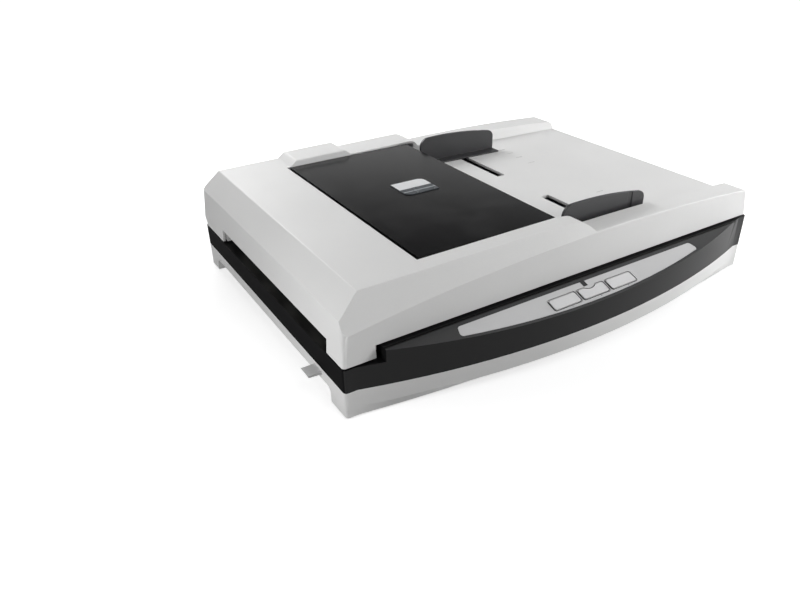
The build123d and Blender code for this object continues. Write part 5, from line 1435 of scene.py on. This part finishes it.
@dataclass
class Tyre:
    """Rubber tyre with grooves round it, cut into a copy of its node, in millimetres."""

    node: str
    body: Body
    axis: tuple[float, float]
    spans: tuple[tuple[float, float], ...]
    radius: float = 9.0
    tread: float = 0.6
    pitch: float = 2.0
    groove: float = 0.7
    lip: float = 0.02
    depth: float = 0.35

    def bands(self) -> list[tuple[float, float]]:
        """Spaces the grooves evenly over each tyre.

        Returns:
            The two sides of each groove along Y.
        """
        made = []
        for low, high in self.spans:
            count = int((high - low - self.pitch) / self.pitch) + 1
            start = (low + high) / 2 - (count - 1) * self.pitch / 2
            middles = (start + index * self.pitch for index in range(count))
            made += [(middle - self.groove / 2, middle + self.groove / 2) for middle in middles]
        return made

    def build(self) -> None:
        """Cuts and sinks the grooves and hands the tyre over."""
        piece = Mould.copy_node(self.node, f"{self.node}_tyre")
        bands = self.bands()
        for y in (side for band in bands for side in band):
            Mould.shape(piece, everywhere, lambda: bpy.ops.mesh.bisect(
                plane_co=(0.0, y * MM, 0.0), plane_no=(0.0, 1.0, 0.0)))
        x, z = self.axis

        def in_groove(centre: Vector, normal: Vector) -> bool:
            """Says whether an outer face lies within a groove."""
            off = math.hypot(centre.x - x * MM, centre.z - z * MM)
            return (off > (self.radius - self.tread) * MM and abs(normal.y) < 0.2
                    and any(low * MM < centre.y < high * MM for low, high in bands))

        Mould.shape(piece, in_groove, lambda: bpy.ops.mesh.inset(thickness=self.lip * MM,
                                                                 depth=-self.depth * MM))
        Mould.smooth(piece, 40.0)
        hand_over(piece, self.body, "roller_rubber", Palette.roller, self.node)


@dataclass
class Feeder:
    """Cover with its badge, sheet bed, rollers, shafts, belts and motor."""

    edge: float = 0.9 * MM
    left_x: float = -135.9 * MM
    left_trim: float = 1.4 * MM
    front_y: tuple[float, float] = (-112.0 * MM, -111.2 * MM)
    front_trim: float = 0.84 * MM
    tyres: tuple[Tyre, ...] = (
        Tyre("feed_rollers", Body.FEED_ROLLER, (-81.5, 82.0), ((-18.25, -4.25), (3.75, 17.75))),
        Tyre("transport_rollers", Body.TRANSPORT_ROLLER, (-131.5, 67.72),
             ((-86.25, -70.25), (-34.25, -18.25), (17.75, 33.75), (69.75, 85.75))),
    )

    def build(self) -> None:
        """Builds the feeder's pieces."""
        self.cover()
        Badge().build()
        for tyre in self.tyres:
            tyre.build()
        finish_nodes({
            "window_plate": Palette.white_strip, "feed_bed": Palette.bed,
            "separation_pad": Palette.rubber, "feed_shaft": Palette.steel,
            "transport_shaft": Palette.steel, "exit_shaft": Palette.acetal,
            "feeder_belt": Palette.rubber, "feed_idler_gear": Palette.acetal,
            "feed_pinion": Palette.brass, "feed_motor": Palette.zinc, "pick_arm": Palette.arm,
            "pick_roller": Palette.roller, "pick_belt": Palette.rubber,
        })

    def cover(self) -> None:
        """Trims the cover's left and front walls, so that the joint round it reads dark."""
        part = Moulding("feeder_cover", Body.COVER, "cover_black", Palette.cover, self.edge)
        piece = part.copy()
        low, high = self.front_y
        for wall, trim in (
                (lambda centre, normal: normal.x < -0.9 and centre.x < self.left_x,
                 (self.left_trim, 0.0, 0.0)),
                (lambda centre, normal: normal.y < -0.9 and low < centre.y < high,
                 (0.0, self.front_trim, 0.0))):
            Mould.shape(piece, wall, lambda: bpy.ops.transform.translate(value=trim))
        part.close(piece)


@dataclass
class Carriage:
    """Scan carriage with its lamp, lens array and glass, on its rod and belt."""

    def build(self) -> None:
        """Dresses the carriage and what drives it."""
        finish_nodes({
            "scan_glass": Palette.glass, "sensor_board": Palette.board,
            "carriage_shell": Palette.hidden_black, "carriage_bushes": Palette.bronze,
            "lens_array": Palette.gloss_black, "scan_lamp": Palette.lamp,
            "guide_rod": Palette.steel, "rod_clips": Palette.acetal,
            "drive_pulley": Palette.acetal, "idler_pulley": Palette.acetal,
            "drive_belt": Palette.rubber, "belt_brackets": Palette.zinc,
            "scan_motor": Palette.zinc, "motor_pinion": Palette.brass,
        })


@dataclass
class Electronics:
    """Main board, rear sockets and power switch, in millimetres."""

    tongue_low: Point = (163.9, 161.5, 16.4)
    tongue_high: Point = (171.1, 173.2, 18.0)
    tongue_edge: float = 0.2
    contacts: int = 4
    contact_start: float = 1.3
    contact_pitch: float = 1.55
    contact_half: float = 0.35
    contact_ends: tuple[float, float] = (1.0, 0.8)
    contact_rise: tuple[float, float] = (-0.02, 0.12)
    contact_edge: float = 0.05
    pin_middle: Point = (191.5, 168.0, 17.1)
    pin_radius: float = 0.9
    pin_length: float = 10.0
    pin_round: float = 0.4
    switch_x: float = 121.5
    switch_middle: float = 13.5
    mark_reach: float = 2.1
    mark_height: float = 2.4
    mark_lift: float = 0.02
    mark_depth: float = 0.04

    def build(self) -> None:
        """Dresses the nodes and adds the sockets' insides and the switch's marks."""
        finish_nodes({
            "main_board": Palette.board, "usb_socket": Palette.zinc,
            "power_jack": Palette.hidden_black, "power_switch": Palette.hidden_black,
            "power_rocker": Palette.gloss_black,
        })
        self.tongue()
        self.jack_pin()
        for text, name, side in (("I", "on", 1.0), ("O", "off", -1.0)):
            self.mark(text, name, side)

    def tongue(self) -> None:
        """Adds the data socket's tongue with its contacts."""
        low, high = ([value * MM for value in end] for end in (self.tongue_low, self.tongue_high))
        piece = Mould.block("data_socket_tongue", low, high)
        Mould.soften(piece, self.tongue_edge * MM)
        hand_over(piece, Body.BASE, "socket_metal", Palette.white_strip)
        inner, outer = (gap * MM for gap in self.contact_ends)
        bottom, top = (high[2] + rise * MM for rise in self.contact_rise)
        half = self.contact_half * MM
        strips = []
        for index in range(self.contacts):
            x = low[0] + (self.contact_start + self.contact_pitch * index) * MM
            strip = Mould.block("contact", (x - half, low[1] + inner, bottom),
                                (x + half, high[1] - outer, top))
            Mould.apply(strip, "BEVEL", width=self.contact_edge * MM, segments=1)
            strips.append(strip)
        hand_over(Mould.join("data_socket_contacts", strips), Body.BASE, "pinion_brass",
                  Palette.brass)

    def jack_pin(self) -> None:
        """Adds the power jack's round pin with its domed end."""
        piece = Mould.rod("power_jack_pin", 20, self.pin_radius * MM, self.pin_length * MM,
                          [value * MM for value in self.pin_middle], (90.0, 0.0, 0.0))
        Mould.soften(piece, self.pin_round * MM, 3)
        hand_over(piece, Body.BASE, "polished_steel", Palette.steel)

    def mark(self, text: str, name: str, side: float) -> None:
        """Adds a plain mark to one of the rocker's two faces.

        Args:
            text: The mark.
            name: What it says, for the piece's name.
            side: 1 for the upper face and -1 for the lower one.
        """
        faces = [face for face in frame["nodes"]["power_rocker"].data.polygons
                 if face.normal.y > 0.8
                 and (face.center.z > self.switch_middle * MM) == (side > 0.0)]
        face = max(faces, key=lambda item: item.area)
        normal = face.normal.copy()
        across = Vector((-1.0, 0.0, 0.0))
        turn = Matrix((across, normal.cross(across), normal)).transposed().to_4x4()
        z = (self.switch_middle + side * self.mark_reach) * MM
        y = face.center.y - (z - face.center.z) * normal.z / normal.y
        centre = Vector((self.switch_x * MM, y, z))
        place = Matrix.Translation(centre + normal * self.mark_lift * MM) @ turn
        piece = Mould.lettering(f"rocker_{name}_mark", text, self.mark_height * MM, place,
                                self.mark_depth * MM)
        hand_over(piece, Body.ROCKER, "rocker_black", Palette.print_grey)


def main() -> None:
    """Builds the scanner's looks in order."""
    Studio().build()
    for assembly in (BaseCasing(), FrontBand(), Platen(), Lid(), Guides(), Feeder(), Carriage(),
                     Electronics()):
        log.info("building %s", type(assembly).__name__)
        assembly.build()


if __name__ == "__main__":
    main()
